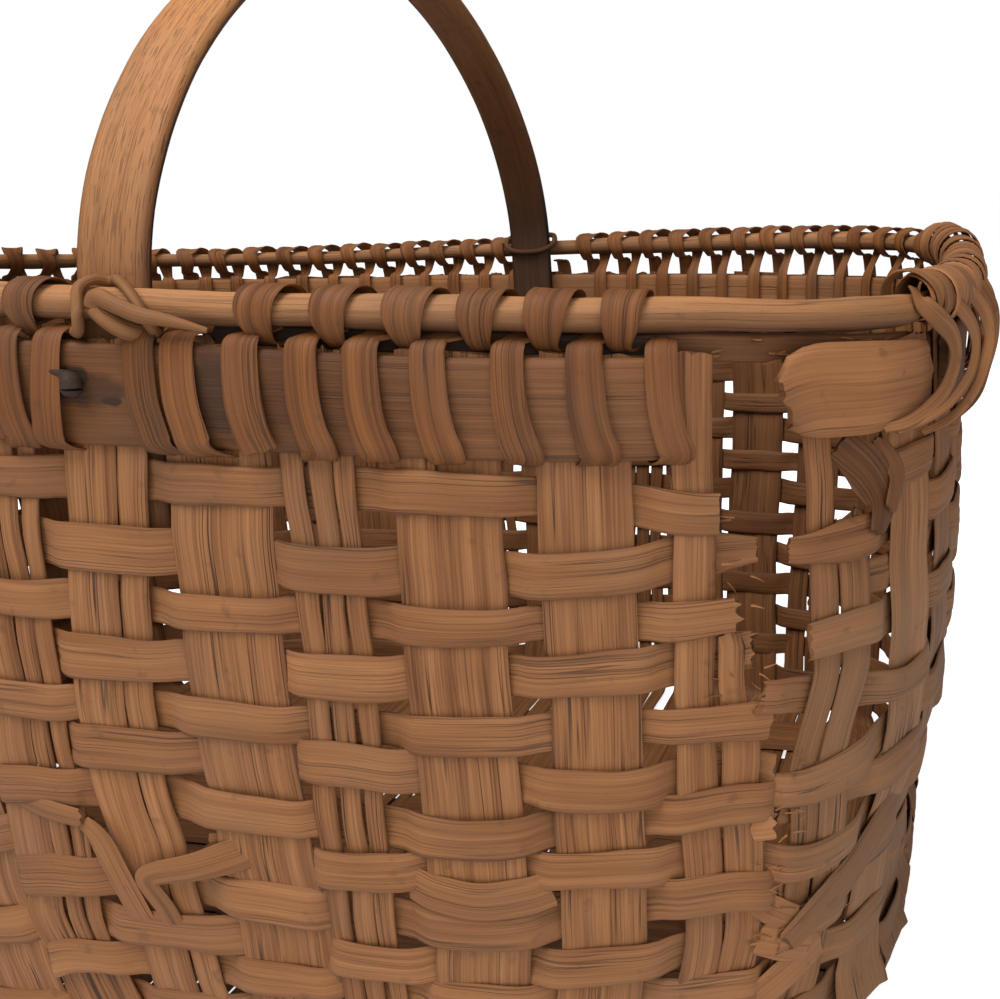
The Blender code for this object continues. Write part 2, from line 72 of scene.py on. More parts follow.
BASE_HALF_WIDTH = 0.151
BASE_EXPONENT = 4
ROD_HEIGHT = 0.2355
WALL_BELLY = 0.004
FAR_RIM_RISE_SHARE = 0.06
CROSSWISE_PITCH = 0.0286
LENGTHWISE_PITCH = 0.033
FLOOR_HEIGHT = 0.0024
FLOOR_WAVE = 0.0017
FLOOR_FADE = 0.008
FOLD_RADIUS = 0.0065
FOLD_TOP = FLOOR_HEIGHT + FOLD_RADIUS
BAND_TOP = ROD_HEIGHT - 0.010
BAND_BOTTOM = ROD_HEIGHT - 0.0363
ROW_PITCH = (BAND_BOTTOM - FOLD_TOP) / ROWS

UP = np.array([0.0, 0.0, 1.0])


# Sizes and colours that a user would change

class BasketSizes(bpy.types.PropertyGroup):
    """Sizes and colours of the basket's pieces."""

    rim_length: bpy.props.FloatProperty(
        name="Rim length", description="Length of the rim rod's centre line",
        default=ROD_HIGH.x - ROD_LOW.x - 2 * ROD_RADIUS, unit="LENGTH")
    rim_width: bpy.props.FloatProperty(
        name="Rim width", description="Width of the rim rod's centre line",
        default=ROD_HIGH.y - ROD_LOW.y - 2 * ROD_RADIUS, unit="LENGTH")
    stake_width: bpy.props.FloatProperty(
        name="Stake width", description="Width of a stake splint", default=0.024, unit="LENGTH")
    stake_thickness: bpy.props.FloatProperty(
        name="Stake thickness", description="Thickness of a stake splint", default=0.0013,
        unit="LENGTH")
    weaver_height: bpy.props.FloatProperty(
        name="Weaver height", description="Height of a row's splint", default=0.0134,
        unit="LENGTH")
    weaver_thickness: bpy.props.FloatProperty(
        name="Weaver thickness", description="Thickness of a row's splint", default=0.0012,
        unit="LENGTH")
    weave_depth: bpy.props.FloatProperty(
        name="Weave depth", description="How far a weaver swings out over a stake",
        default=0.0018, unit="LENGTH")
    lash_width: bpy.props.FloatProperty(
        name="Lashing width", description="Width of the lashing over the rod", default=0.0125,
        unit="LENGTH")
    handle_width: bpy.props.FloatProperty(
        name="Handle width", description="Width of the bent hoop", default=0.020, unit="LENGTH")
    handle_thickness: bpy.props.FloatProperty(
        name="Handle thickness", description="Thickness of the bent hoop", default=0.005,
        unit="LENGTH")
    splint_light: bpy.props.FloatVectorProperty(
        name="Splint, light", description="Lighter fibres of the splints", subtype="COLOR",
        size=3, default=(0.33, 0.141, 0.051), min=0.0, max=1.0)
    splint_dark: bpy.props.FloatVectorProperty(
        name="Splint, dark", description="Darker fibres of the splints", subtype="COLOR",
        size=3, default=(0.125, 0.043, 0.0125), min=0.0, max=1.0)
    rod_light: bpy.props.FloatVectorProperty(
        name="Rod, light", description="Lighter fibres of the rim rod", subtype="COLOR",
        size=3, default=(0.33, 0.15, 0.055), min=0.0, max=1.0)
    rod_dark: bpy.props.FloatVectorProperty(
        name="Rod, dark", description="Darker fibres of the rim rod", subtype="COLOR",
        size=3, default=(0.135, 0.05, 0.0155), min=0.0, max=1.0)
    lash_light: bpy.props.FloatVectorProperty(
        name="Lashing, light", description="Lighter fibres of the lashing", subtype="COLOR",
        size=3, default=(0.212, 0.074, 0.0175), min=0.0, max=1.0)
    lash_dark: bpy.props.FloatVectorProperty(
        name="Lashing, dark", description="Darker fibres of the lashing", subtype="COLOR",
        size=3, default=(0.06, 0.019, 0.0045), min=0.0, max=1.0)
    handle_light: bpy.props.FloatVectorProperty(
        name="Handle, light", description="Lighter fibres of the handle", subtype="COLOR",
        size=3, default=(0.385, 0.165, 0.053), min=0.0, max=1.0)
    handle_dark: bpy.props.FloatVectorProperty(
        name="Handle, dark", description="Darker fibres of the handle", subtype="COLOR",
        size=3, default=(0.135, 0.047, 0.012), min=0.0, max=1.0)


# What the old basket's weave has come to, stake by stake

# The first stake of the tables below
FIRST_KNOWN = -1
# How far each stake has moved along the wall at these heights, as a share of the stakes' pitch
LEAN_HEIGHTS = (0.009, 0.03, 0.055, 0.08, 0.105, 0.135, 0.17, 0.2, 0.23)
STAKE_LEANS = (
    (0, -0.14, -0.24, -0.16, -0.14, -0.11, -0.09, -0.06, -0.05),
    (0, -0.06, -0.14, -0.17, -0.25, -0.22, -0.12, -0.04, 0),
    (0, 0.07, 0.09, 0.01, -0.04, -0.09, -0.07, -0.05, -0.03),
    (0, -0.02, -0.09, -0.11, -0.13, -0.125, -0.15, -0.19, -0.15),
    (0, 0.04, 0.02, -0.05, -0.08, -0.14, -0.175, -0.18, -0.1),
    (0, 0.14, 0.15, 0.08, 0, -0.045, -0.09, -0.09, -0.05),
    (0, 0.23, 0.25, 0.15, 0.05, -0.04, -0.06, -0.06, -0.05),
    (0, 0.1, 0.12, 0.09, -0.03, 0.15, 0.03, 0, 0),
    (0, 0.14, 0.2, 0.18, 0.16, 0.12, 0.02, 0, 0),
    (0, 0.14, 0.2, 0.15, 0.12, 0.08, 0.02, 0, 0))
# The most that each far stake has moved, and the share of it at each of those heights
FAR_LEANS = {13: 0.1, 14: 0.22, 15: 0.34, 16: 0.4, 17: 0.44, 18: 0.3, 19: 0.1}
FAR_LEAN_SHARES = (0, 0.4, 0.7, 0.9, 1, 1, 1, 1, 0.9)
# Heights below this one fade to zero, so that nothing sinks into what the basket stands on
LOW_HEIGHT = 0.0005
# The dent in the right wall: how deep it is at each height, and where it starts and ends
DENT_HEIGHTS = (0.007, 0.018, 0.03, 0.05, 0.066, 0.086, 0.1, 0.13, 0.22)
DENTS = (0, 0.0064, 0.0082, 0.0084, 0.0076, 0.0028, 0.0012, 0, 0)
DENT_PLACES = (5.6, 7.0, 12.0, 14.0)
# Widths of the near stakes, of the far ones, and of the far ones that show through the hole
FAR_STAKES, FAR_WIDTH = slice(12, 29), 0.027
SEEN_STAKES, SEEN_WIDTHS = slice(15, 18), (0.0252, 0.0285, 0.0312)
STAKE_WIDTHS = (0.0245, 0.0235, 0.0285, 0.024, 0.0275, 0.0243, 0.024, 0.021, 0.0245, 0.025)
# How far each row has sunk at the known stakes, in millimetres, from the top row down
ROW_DROPS = (
    (1.5, 1.6, 1.8, 1.4, 1.2, 3, 7.7, 4, 2, 1), (3.6, 4.4, 5.5, 6.6, 6.8, 6.8, 3.5, 3.7, 2, 1),
    (3.5, 4, 4.5, 5, 5.7, 5, 3.7, 2, 1, 1), (3.2, 4, 4.6, 5.2, 4, 2.8, 1, -1, 0, 0),
    (2.6, 3.2, 4, 4.8, 5.2, 4.4, 3.4, 6, 7, 4), (0, -0.8, 0, -0.5, 3, 5.5, 4, 9, 6, 3),
    (-3, -1, 1.2, 3, 4.6, 1, -2.4, 1, 3, 2), (-2, -1, 0.5, 1.8, 0, -1.5, 0, 7, 3, 2),
    (-4.3, -3, -1.2, 1, 3.4, -2, -6, 0, 2, 1), (-4, -4, -2, 1, 1, 0, -3, -3, 0, 0),
    (-7, -6, -6, -4, -3, -3, -4, -2, 0, 0), (-6, -6, -5, -4, -3, -3, -3, -1, 0, 0))
# How far the bands have sunk below the rod, by place
BAND_DROP_PLACES = (0, 10, 13, 15, 20, 25, 28, 40)
BAND_DROPS = (0, 0, 0.005, 0.0065, 0.003, 0, 0, 0)


def all_round(known, seed, low, high):
    """Values for every stake: seeded ones between low and high, and the known ones in place."""
    known = np.asarray(known, dtype=float)
    values = np.random.default_rng(seed).uniform(low, high, (STAKES, *known.shape[1:]))
    values[np.arange(FIRST_KNOWN, FIRST_KNOWN + len(known)) % STAKES] = known
    return values


def band_drop(place):
    """How far the bands have sunk below the rod: straight lines between places on the far wall."""
    return np.interp(np.asarray(place) % STAKES, BAND_DROP_PLACES, BAND_DROPS)


# The basket's wall

def floor_place(stake):
    """The wall that a stake stands in, and its number in the floor, where the middle one is 0."""
    long_reach, short_reach = CROSSWISE // 2, LENGTHWISE // 2
    place = (stake + long_reach) % STAKES
    if place < CROSSWISE:
        return "near", place - long_reach
    place -= CROSSWISE
    if place < LENGTHWISE:
        return "right", place - short_reach
    place -= LENGTHWISE
    if place < CROSSWISE:
        return "far", long_reach - place
    return "left", short_reach - (place - CROSSWISE)


def base_point(stake):
    """Where a stake leaves the floor, on a superellipse round the floor's edge."""
    side, number = floor_place(stake)
    crosswise = side in ("near", "far")
    place = number * (CROSSWISE_PITCH if crosswise else LENGTHWISE_PITCH)
    share = abs(place) / (BASE_HALF_LENGTH if crosswise else BASE_HALF_WIDTH)
    reach = BASE_HALF_WIDTH if crosswise else BASE_HALF_LENGTH
    reach *= (1 - share ** BASE_EXPONENT) ** (1 / BASE_EXPONENT)
    facing = -reach if side in ("near", "left") else reach
    return (place, facing) if crosswise else (facing, place)


def cubic(four, share):
    """The Catmull-Rom cubic of four values, at a share of the way from the second to the third."""
    before, start, end, after = four
    return 0.5 * (2 * start + (end - before) * share
                  + (2 * before - 5 * start + 4 * end - after) * share ** 2
                  + (3 * start - before - 3 * end + after) * share ** 3)


def through(values, place):
    """A closed smooth line through values at whole places: a cubic of the four round a place."""
    values = np.asarray(values, dtype=float)
    first = np.floor(place).astype(int)
    four = (values[(first + step) % len(values)] for step in (-1, 0, 1, 2))
    return cubic(four, (place - first)[..., None])


def settle(points):
    """The old basket has twisted: its far rim stands higher towards +X and lower towards -X, by
    a share of x times the height share times the square of the share of the way to the far rim.
    Below half a millimetre heights fade to zero as an exponential, so nothing sinks in."""
    moved = np.array(points, dtype=float)
    reach = 0.5 + 0.5 * moved[..., 1] / (ROD_HIGH.y - ROD_RADIUS)
    moved[..., 2] += FAR_RIM_RISE_SHARE * moved[..., 0] * reach ** 2 * moved[..., 2] / ROD_HEIGHT
    low = np.minimum(moved[..., 2] / LOW_HEIGHT, 1)
    moved[..., 2] = np.maximum(moved[..., 2], LOW_HEIGHT * np.exp(low - 1))
    return moved


class Wall:
    """The wall as a surface of a place along the rim, a height and an offset outwards."""

    def __init__(self, sizes):
        half = np.array([sizes.rim_length, sizes.rim_width]) / 2
        angle = np.linspace(-math.pi / 2, 1.5 * math.pi, 4001)
        round_line = np.stack([np.cos(angle), np.sin(angle)], axis=1)
        self.line = half * np.sign(round_line) * np.abs(round_line) ** (2 / RIM_EXPONENT)
        runs = np.hypot(*np.diff(self.line, axis=0).T)
        self.lengths = np.concatenate([[0.0], np.cumsum(runs)])
        self.pitch = self.lengths[-1] / STAKES
        self.base = np.array([base_point(stake) for stake in range(STAKES)])
        self.leans = all_round(STAKE_LEANS, 51, -0.05, 0.05)
        self.leans[:, 0] = 0.0
        for stake, lean in FAR_LEANS.items():
            self.leans[stake] = lean * np.array(FAR_LEAN_SHARES)

    def rim(self, place):
        """Point of the rim line at a place, in stakes."""
        length = (np.asarray(place, dtype=float) * self.pitch) % self.lengths[-1]
        return np.stack([np.interp(length, self.lengths, self.line[:, axis]) for axis in (0, 1)],
                        axis=-1)

    def along(self, place):
        """Direction along the wall: the chord from half a stake before to half a stake after."""
        chord = self.rim(np.asarray(place) + 0.5) - self.rim(np.asarray(place) - 0.5)
        chord /= np.linalg.norm(chord, axis=-1, keepdims=True)
        return np.concatenate([chord, np.zeros_like(chord[..., :1])], axis=-1)

    def outward(self, place):
        """Direction out of the wall: the direction along it, turned by a quarter."""
        along = self.along(place)
        return np.stack([along[..., 1], -along[..., 0], along[..., 2]], axis=-1)

    def point(self, place, height, offset=0.0):
        """Rim point, drawn in towards the floor's edge by the share of the depth cubed, with a
        belly of four times share times one minus share, and the offset outwards. The right
        wall is dented low down."""
        place, height, offset = np.broadcast_arrays(*(np.asarray(value, dtype=float)
                                                      for value in (place, height, offset)))
        rim = self.rim(place)
        share = np.clip((ROD_HEIGHT - height) / (ROD_HEIGHT - FOLD_TOP), 0, 1)[..., None]
        dent = (np.interp(height, DENT_HEIGHTS, DENTS)
                * np.interp(place % STAKES, DENT_PLACES, (0, 1, 1, 0)))[..., None]
        belly = WALL_BELLY * 4 * share * (1 - share) - dent + offset[..., None]
        plan = (rim + (through(self.base, place) - rim) * share ** 3
                + self.outward(place)[..., :2] * belly)
        return np.concatenate([plan, height[..., None]], axis=-1)

    def route(self, stations, per_span, side=0.0):
        """Places and points of a smooth line through stations of place, height and offset, the
        last two in millimetres. The side is added to the places."""
        route = smooth_line(stations, per_span)
        place = route[:, 0] + side
        return place, self.point(place, route[:, 1] / 1000, route[:, 2] / 1000)

    def lean(self, place, height):
        """How far the weave has moved along the wall: smooth between stakes, straight between
        the heights of the table."""
        level = np.interp(height, LEAN_HEIGHTS, np.arange(len(LEAN_HEIGHTS)))
        low = np.minimum(level.astype(int), len(LEAN_HEIGHTS) - 2)
        at_heights = through(self.leans, place)
        below, above = (np.take_along_axis(at_heights, (low + step)[..., None], -1)[..., 0]
                        for step in (0, 1))
        return below + (above - below) * (level - low)

    def woven(self, place, height, offset=0.0):
        """A point of the wall, moved along by the lean of the weave."""
        place, height = np.broadcast_arrays(np.asarray(place, dtype=float),
                                            np.asarray(height, dtype=float))
        return self.point(place + self.lean(place, height), height, offset)


# Meshes

# Columns across a splint stand closer together at its edges: the sine of up to this angle
SECTION_ANGLE = 0.43 * math.pi


def wander(length, seed, spacing, size):
    """Smooth wandering: three sines along the length with seeded phases, the finer ones lower."""
    phases = np.random.default_rng(seed).uniform(0, 2 * math.pi, 3)
    waves = [np.sin(2 * math.pi * length / spacing * step + phase) / step
             for step, phase in zip((1.0, 2.3, 4.1), phases)]
    return size * sum(waves) / 1.6


def flat_wave(phase, flatness):
    """A cosine with flattened crests: the hyperbolic tangent of flatness times the cosine."""
    return np.tanh(flatness * np.cos(phase)) / math.tanh(flatness)


def smooth_line(points, per_span):
    """An open smooth line through points: a cubic of four of them, where the first and last span
    are carried on by one point each."""
    points = np.asarray(points, dtype=float)
    padded = np.concatenate([points[:1] * 2 - points[1:2], points, points[-1:] * 2 - points[-2:-1]])
    place = np.linspace(0, len(points) - 1, (len(points) - 1) * per_span + 1)
    first = np.minimum(place.astype(int), len(points) - 2)
    return cubic((padded[first + step] for step in range(4)), (place - first)[:, None])


def unit(vectors):
    """Each vector over its own length."""
    return vectors / np.linalg.norm(vectors, axis=-1, keepdims=True)


def run_length(line):
    """Length along a line up to each of its points: the sum of the steps before it."""
    return np.concatenate([[0.0], np.cumsum(np.linalg.norm(np.diff(line, axis=0), axis=1))])


def closed_faces(count, section):
    """Faces of a closed section carried along: a quad for each step and corner, and two caps."""
    ring, column = np.meshgrid(np.arange(count - 1), np.arange(section), indexing="ij")
    after = (column + 1) % section
    quads = np.stack([ring * section + column, (ring + 1) * section + column,
                      (ring + 1) * section + after, ring * section + after], axis=-1)
    return quads.reshape(-1, 4).tolist() + [
        list(range(section)), list(range(count * section - 1, (count - 1) * section - 1, -1))]


def ribbon(line, across, width, thickness, seed=0, bulge=0.0, ragged=(0.0, 0.0), tone=0.5,
           faces_across=8, ridge=0.00012, normal_tone=0.0, edge_tone=0.0):
    """A splint carried along a line, as vertices, faces, UV and tone.

    The section is half the width times v across, from -1 to 1 and back. Its faces lie half the
    thickness, times the square root of one minus v to the eighth, off the line, plus a bulge of
    one minus v squared and small ridges that wander along the splint. A ragged end reaches out
    by the cube of a random share of its length at each v. The UV are the length and the width in
    metres. The tone changes by the normal tone on the side of the normal, and by the edge tone
    times v to the tenth.
    """
    line = np.asarray(line, dtype=float)
    count = len(line)
    tangent = unit(np.gradient(line, axis=0))
    across = np.broadcast_to(across, line.shape)
    across = unit(across - tangent * np.sum(across * tangent, axis=1, keepdims=True))
    normal = np.cross(tangent, across)
    length = run_length(line)
    width, thickness, bulge, tone = (np.broadcast_to(value, count).astype(float)
                                     for value in (width, thickness, bulge, tone))
    share = np.sin(np.linspace(-1, 1, faces_across + 1) * SECTION_ANGLE) / math.sin(SECTION_ANGLE)
    share = np.concatenate([share, share[::-1]])
    side = np.repeat([1.0, -1.0], faces_across + 1)
    rounding = np.sqrt(np.clip(1.02 - np.abs(share) ** 8, 0.0, 1.0))
    rng = np.random.default_rng(seed)
    ridges = np.stack([wander(length, (seed, column), 0.05, ridge)
                       for column in range(faces_across + 1)], axis=1)
    ridges = np.concatenate([ridges, ridges[:, ::-1]], axis=1) * rounding
    lift = (side * rounding * thickness[:, None] / 2 + bulge[:, None] * (1 - share ** 2) + ridges)
    spread = share * width[:, None] / 2
    points = line[:, None] + across[:, None] * spread[..., None] + normal[:, None] * lift[..., None]
    for reach, ring, inner, facing in ((ragged[0], 0, 1, -1), (ragged[1], -1, -2, 1)):
        jag = rng.uniform(0, 1, faces_across + 1) ** 3 * reach
        jag = np.concatenate([jag, jag[::-1]])[:, None]
        points[ring] += facing * tangent[ring] * jag
        points[inner] += facing * tangent[inner] * jag * 0.5
    shift = rng.uniform(0, 5, 2)
    uv = np.stack([np.broadcast_to(length[:, None], spread.shape) + shift[0], spread + shift[1]],
                  axis=-1)
    shade = np.where(side > 0, normal_tone, 0.0) + edge_tone * np.abs(share) ** 10
    return (points.reshape(-1, 3), closed_faces(count, 2 * (faces_across + 1)),
            uv.reshape(-1, 2), (tone[:, None] + shade).ravel())


def splint(wall, stations, width, thickness, seed, tone=0.5, ragged=(0.001, 0.001), per_span=6,
           turned=0.0, edge_tone=0.0):
    """A loose splint on a route of the wall, with widths in millimetres. It lies flat on the wall,
    or is turned about its own line by an angle: across times the cosine and up times the sine."""
    place, line = wall.route(stations, per_span)
    tangent = unit(np.gradient(line, axis=0))
    across = unit(np.cross(wall.outward(place), tangent))
    across = across * math.cos(turned) + np.cross(tangent, across) * math.sin(turned)
    widths = np.interp(np.linspace(0, 1, len(line)), np.linspace(0, 1, len(width)), width) / 1000
    return ribbon(line, across, widths, thickness, seed=seed, tone=tone, ragged=ragged,
                  faces_across=6, edge_tone=edge_tone)


def splinters(wall, seed, count, low, high, offset, steep=0.4):
    """Fine torn fibres: short bent slivers at seeded places between two corners of the wall."""
    rng = np.random.default_rng(seed)
    parts = []
    for number in range(count):
        place, height = rng.uniform(low, high)
        run, rise = rng.uniform(0.05, 0.2) * rng.choice((-1, 1)), rng.uniform(-1, 1) * steep * 8
        lift = rng.uniform(0.2, 1.8)
        stations = [(place, height, offset),
                    (place + run / 2, height + rise * 0.4, offset + lift * 0.3),
                    (place + run, height + rise, offset + lift)]
        size = rng.uniform(0.35, 0.9)
        parts.append(splint(wall, stations, (size, size * 0.8, 0.15), 0.0003, seed + number,
                            0.6 + rng.uniform(-0.1, 0.2), (0.0, 0.0), 3))
    return parts


def weathered(vertices):
    """How grey a place has gone: a smooth step of x past the near right corner, below the rim."""
    east = np.clip((vertices[:, 0] - 0.165) / 0.03, 0, 1)
    near = np.clip((0.06 - vertices[:, 1]) / 0.08, 0, 1)
    below = np.clip((0.172 - vertices[:, 2]) / 0.03, 0, 1)
    return east * east * (3 - 2 * east) * near * below


def add_piece(name, parts, material, nodes=()):
    """Join ribbons into one smooth-shaded mesh that rides on the basket and replaces its solids."""
    vertices, faces, first = [], [], 0
    for part in parts:
        vertices.append(part[0])
        faces += [[corner + first for corner in face] for face in part[1]]
        first += len(part[0])
    vertices = np.concatenate(vertices)
    mesh = bpy.data.meshes.new(name)
    mesh.from_pydata(settle(vertices).tolist(), [], faces)
    corners = np.empty(len(mesh.loops), dtype=np.int32)
    mesh.loops.foreach_get("vertex_index", corners)
    layer = mesh.uv_layers.new(name="Along")
    layer.data.foreach_set("uv", np.concatenate([part[2] for part in parts])[corners].ravel())
    tones = mesh.attributes.new("tone", "FLOAT", "POINT")
    tones.data.foreach_set("value", np.concatenate([part[3] for part in parts]).astype(np.float32))
    ages = mesh.attributes.new("age", "FLOAT", "POINT")
    ages.data.foreach_set("value", weathered(vertices).astype(np.float32))
    mesh.shade_smooth()
    mesh.set_sharp_from_angle(angle=math.radians(60))
    mesh.materials.append(material)
    piece = bpy.data.objects.new(name, mesh)
    bpy.context.scene.collection.objects.link(piece)
    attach(piece, "root")
    if nodes:
        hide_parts(*nodes)
    return piece


# Materials

def add_node(tree, kind, inputs=(), **settings):
    """A node with its settings and its inputs: values, or sockets to link."""
    node = tree.nodes.new(kind)
    for name, value in settings.items():
        setattr(node, name, value)
    for key, value in dict(inputs).items():
        if isinstance(value, bpy.types.NodeSocket):
            tree.links.new(value, node.inputs[key])
        else:
            node.inputs[key].default_value = value
    return node


def math_node(tree, operation, first, second=0.5, clamp=False):
    """Output of a Math node."""
    return add_node(tree, "ShaderNodeMath", {0: first, 1: second}, operation=operation,
                    use_clamp=clamp).outputs[0]


def stretched_noise(tree, vector, along, across, detail=2.0):
    """Noise with its own scale along the splint and across it, per metre."""
    scaled = add_node(tree, "ShaderNodeMapping", {"Vector": vector, "Scale": (along, across, 1.0)})
    return add_node(tree, "ShaderNodeTexNoise", {"Vector": scaled.outputs[0], "Scale": 1.0,
                                                 "Detail": detail}).outputs["Fac"]


def ranged(tree, value, low, high, to_low=0.0, to_high=1.0):
    """Output of a Map Range node, which clamps."""
    return add_node(tree, "ShaderNodeMapRange", {"Value": value, "From Min": low, "From Max": high,
                                                 "To Min": to_low, "To Max": to_high}).outputs[0]


def mixed(tree, factor, first, second, blend="MIX"):
    """Output of a Mix node of colours."""
    node = add_node(tree, "ShaderNodeMix", {0: factor, 6: first, 7: second}, data_type="RGBA",
                    blend_type=blend)
    return node.outputs[2]


def grain_group():
    """Splint grain: fibres, streaks, dark splits and greyed patches, from UV in metres."""
    name = "Splint grain"
    if name in bpy.data.node_groups:
        return bpy.data.node_groups[name]
    tree = bpy.data.node_groups.new(name, "ShaderNodeTree")
    for label, kind in (("Along", "Vector"), ("Place", "Vector"), ("Light", "Color"),
                        ("Dark", "Color"), ("Contrast", "Float"), ("Splits", "Float"),
                        ("Pores", "Float"), ("Weathering", "Float"), ("Tone", "Float"),
                        ("Age", "Float"), ("Stain and shade", "Float")):
        tree.interface.new_socket(name=label, in_out="INPUT", socket_type="NodeSocket" + kind)
    for label, kind in (("Colour", "Color"), ("Height", "Float"), ("Roughness", "Float")):
        tree.interface.new_socket(name=label, in_out="OUTPUT", socket_type="NodeSocket" + kind)
    given = tree.nodes.new("NodeGroupInput").outputs
    result = tree.nodes.new("NodeGroupOutput")

    fibres = stretched_noise(tree, given["Along"], 22, 1900, 3.0)
    streaks = stretched_noise(tree, given["Along"], 8, 420)
    bands = stretched_noise(tree, given["Along"], 6, 95)
    cracks = stretched_noise(tree, given["Along"], 6, 430, 1.0)
    where = stretched_noise(tree, given["Along"], 16, 150, 1.0)
    short = stretched_noise(tree, given["Along"], 130, 2300, 1.0)
    patches = add_node(tree, "ShaderNodeTexNoise", {"Vector": given["Place"], "Scale": 30.0,
                                                    "Detail": 4.0}).outputs["Fac"]
    spots = add_node(tree, "ShaderNodeTexNoise", {"Vector": given["Place"], "Scale": 150.0,
                                                  "Detail": 2.0}).outputs["Fac"]

    spread = math_node(tree, "MULTIPLY", fibres, 0.34)
    spread = math_node(tree, "ADD", spread, math_node(tree, "MULTIPLY", streaks, 0.32))
    spread = math_node(tree, "ADD", spread, math_node(tree, "MULTIPLY", bands, 0.22))
    spread = math_node(tree, "ADD", spread, math_node(tree, "MULTIPLY", patches, 0.12))
    gain = math_node(tree, "MULTIPLY", math_node(tree, "SUBTRACT", spread, 0.5), given["Contrast"])
    contrast = math_node(tree, "ADD", gain, 0.56, True)
    line = ranged(tree, math_node(tree, "ABSOLUTE", math_node(tree, "SUBTRACT", cracks, 0.5)),
                  0.003, 0.02, 1.0, 0.0)
    line = math_node(tree, "MULTIPLY", math_node(tree, "MULTIPLY", line,
                                                 ranged(tree, where, 0.47, 0.6)), given["Splits"])
    pores = math_node(tree, "MULTIPLY", ranged(tree, short, 0.58, 0.68), given["Pores"])
    marks = math_node(tree, "MAXIMUM", line, pores)

    colour = mixed(tree, contrast, given["Dark"], given["Light"])
    worn = math_node(tree, "MULTIPLY", ranged(tree, patches, 0.48, 0.72), given["Weathering"])
    grey = math_node(tree, "MULTIPLY", given["Age"], ranged(tree, streaks, 0.3, 0.62, 0.95, 0.35))
    colour = mixed(tree, worn, colour, (0.125, 0.07, 0.038, 1.0))
    colour = mixed(tree, grey, colour, (0.205, 0.108, 0.054, 1.0))
    brightness = ranged(tree, given["Tone"], -0.2, 1.2, 0.02, 1.98)
    colour = mixed(tree, 1.0, colour, brightness, "MULTIPLY")
    redder = mixed(tree, ranged(tree, given["Tone"], 0.0, 0.5), (1.0, 0.86, 0.7, 1.0),
                   (1.0, 1.0, 1.0, 1.0))
    colour = mixed(tree, 1.0, colour, redder, "MULTIPLY")
    dirt = math_node(tree, "MULTIPLY", ranged(tree, spots, 0.66, 0.76), 0.32)
    colour = mixed(tree, math_node(tree, "MAXIMUM", marks, dirt), colour, (0.05, 0.022, 0.01, 1.0))
    # Stains round the near nail, and painted shade in the recess beside it, darken towards a near
    # black brown
    colour = mixed(tree, given["Stain and shade"], colour, (0.02, 0.010, 0.006, 1.0))
    height = math_node(tree, "ADD", math_node(tree, "MULTIPLY", fibres, 0.35),
                       math_node(tree, "MULTIPLY", streaks, 0.65))
    height = math_node(tree, "SUBTRACT", height, math_node(tree, "MULTIPLY", marks, 0.6))
    tree.links.new(colour, result.inputs["Colour"])
    tree.links.new(height, result.inputs["Height"])
    tree.links.new(ranged(tree, contrast, 0.0, 1.0, 0.8, 0.58), result.inputs["Roughness"])
    return tree


def spot(tree, place, centre, size):
    """A round mask: one inside, falling to zero at the size, from the length of the place less
    the centre, over the size, with its edge broken up by noise."""
    scale = [1.0 / reach for reach in size]
    moved = add_node(tree, "ShaderNodeMapping", {
        "Vector": place, "Location": [-value * factor for value, factor in zip(centre, scale)],
        "Scale": scale})
    away = add_node(tree, "ShaderNodeVectorMath", {0: moved.outputs[0]}, operation="LENGTH")
    rough = add_node(tree, "ShaderNodeTexNoise", {"Vector": place, "Scale": 260.0, "Detail": 3.0})
    edge = math_node(tree, "ADD", away.outputs["Value"], math_node(
        tree, "MULTIPLY", math_node(tree, "SUBTRACT", rough.outputs["Fac"], 0.5), 0.9))
    return ranged(tree, edge, 0.75, 1.1, 1.0, 0.0)


def wood(name, light, dark, contrast=3.0, splits=0.7, pores=0.0, weathering=0.3, bump=0.0006,
         specular=0.3, stains_and_shade=()):
    """A wood whose fibres follow the piece's UV, with the tone and age that its points carry and
    round dark spots at places of the basket, each with its own strength, which are stains and
    painted shade."""
    if name in bpy.data.materials:
        return bpy.data.materials[name]
    material = bpy.data.materials.new(name)
    material.use_nodes = True
    tree = material.node_tree
    shader = tree.nodes["Principled BSDF"]
    place = tree.nodes.new("ShaderNodeTexCoord")
    grain = tree.nodes.new("ShaderNodeGroup")
    grain.node_tree = grain_group()
    tree.links.new(place.outputs["UV"], grain.inputs["Along"])
    tree.links.new(place.outputs["Object"], grain.inputs["Place"])
    for label, attribute in (("Tone", "tone"), ("Age", "age")):
        value = add_node(tree, "ShaderNodeAttribute", attribute_name=attribute)
        tree.links.new(value.outputs["Fac"], grain.inputs[label])
    for key, value in (("Light", (*light, 1.0)), ("Dark", (*dark, 1.0)), ("Contrast", contrast),
                       ("Splits", splits), ("Pores", pores), ("Weathering", weathering)):
        grain.inputs[key].default_value = value
    stain_and_shade = None
    for centre, size, strength in stains_and_shade:
        mask = math_node(tree, "MULTIPLY", spot(tree, place.outputs["Object"], centre, size),
                         strength)
        stain_and_shade = mask if stain_and_shade is None else math_node(tree, "MAXIMUM", stain_and_shade, mask)
    if stain_and_shade:
        tree.links.new(stain_and_shade, grain.inputs["Stain and shade"])
    relief = add_node(tree, "ShaderNodeBump", {"Height": grain.outputs["Height"],
                                               "Strength": 0.8, "Distance": bump})
    tree.links.new(grain.outputs["Colour"], shader.inputs["Base Color"])
    tree.links.new(grain.outputs["Roughness"], shader.inputs["Roughness"])
    tree.links.new(relief.outputs["Normal"], shader.inputs["Normal"])
    shader.inputs["Specular IOR Level"].default_value = specular
    return material


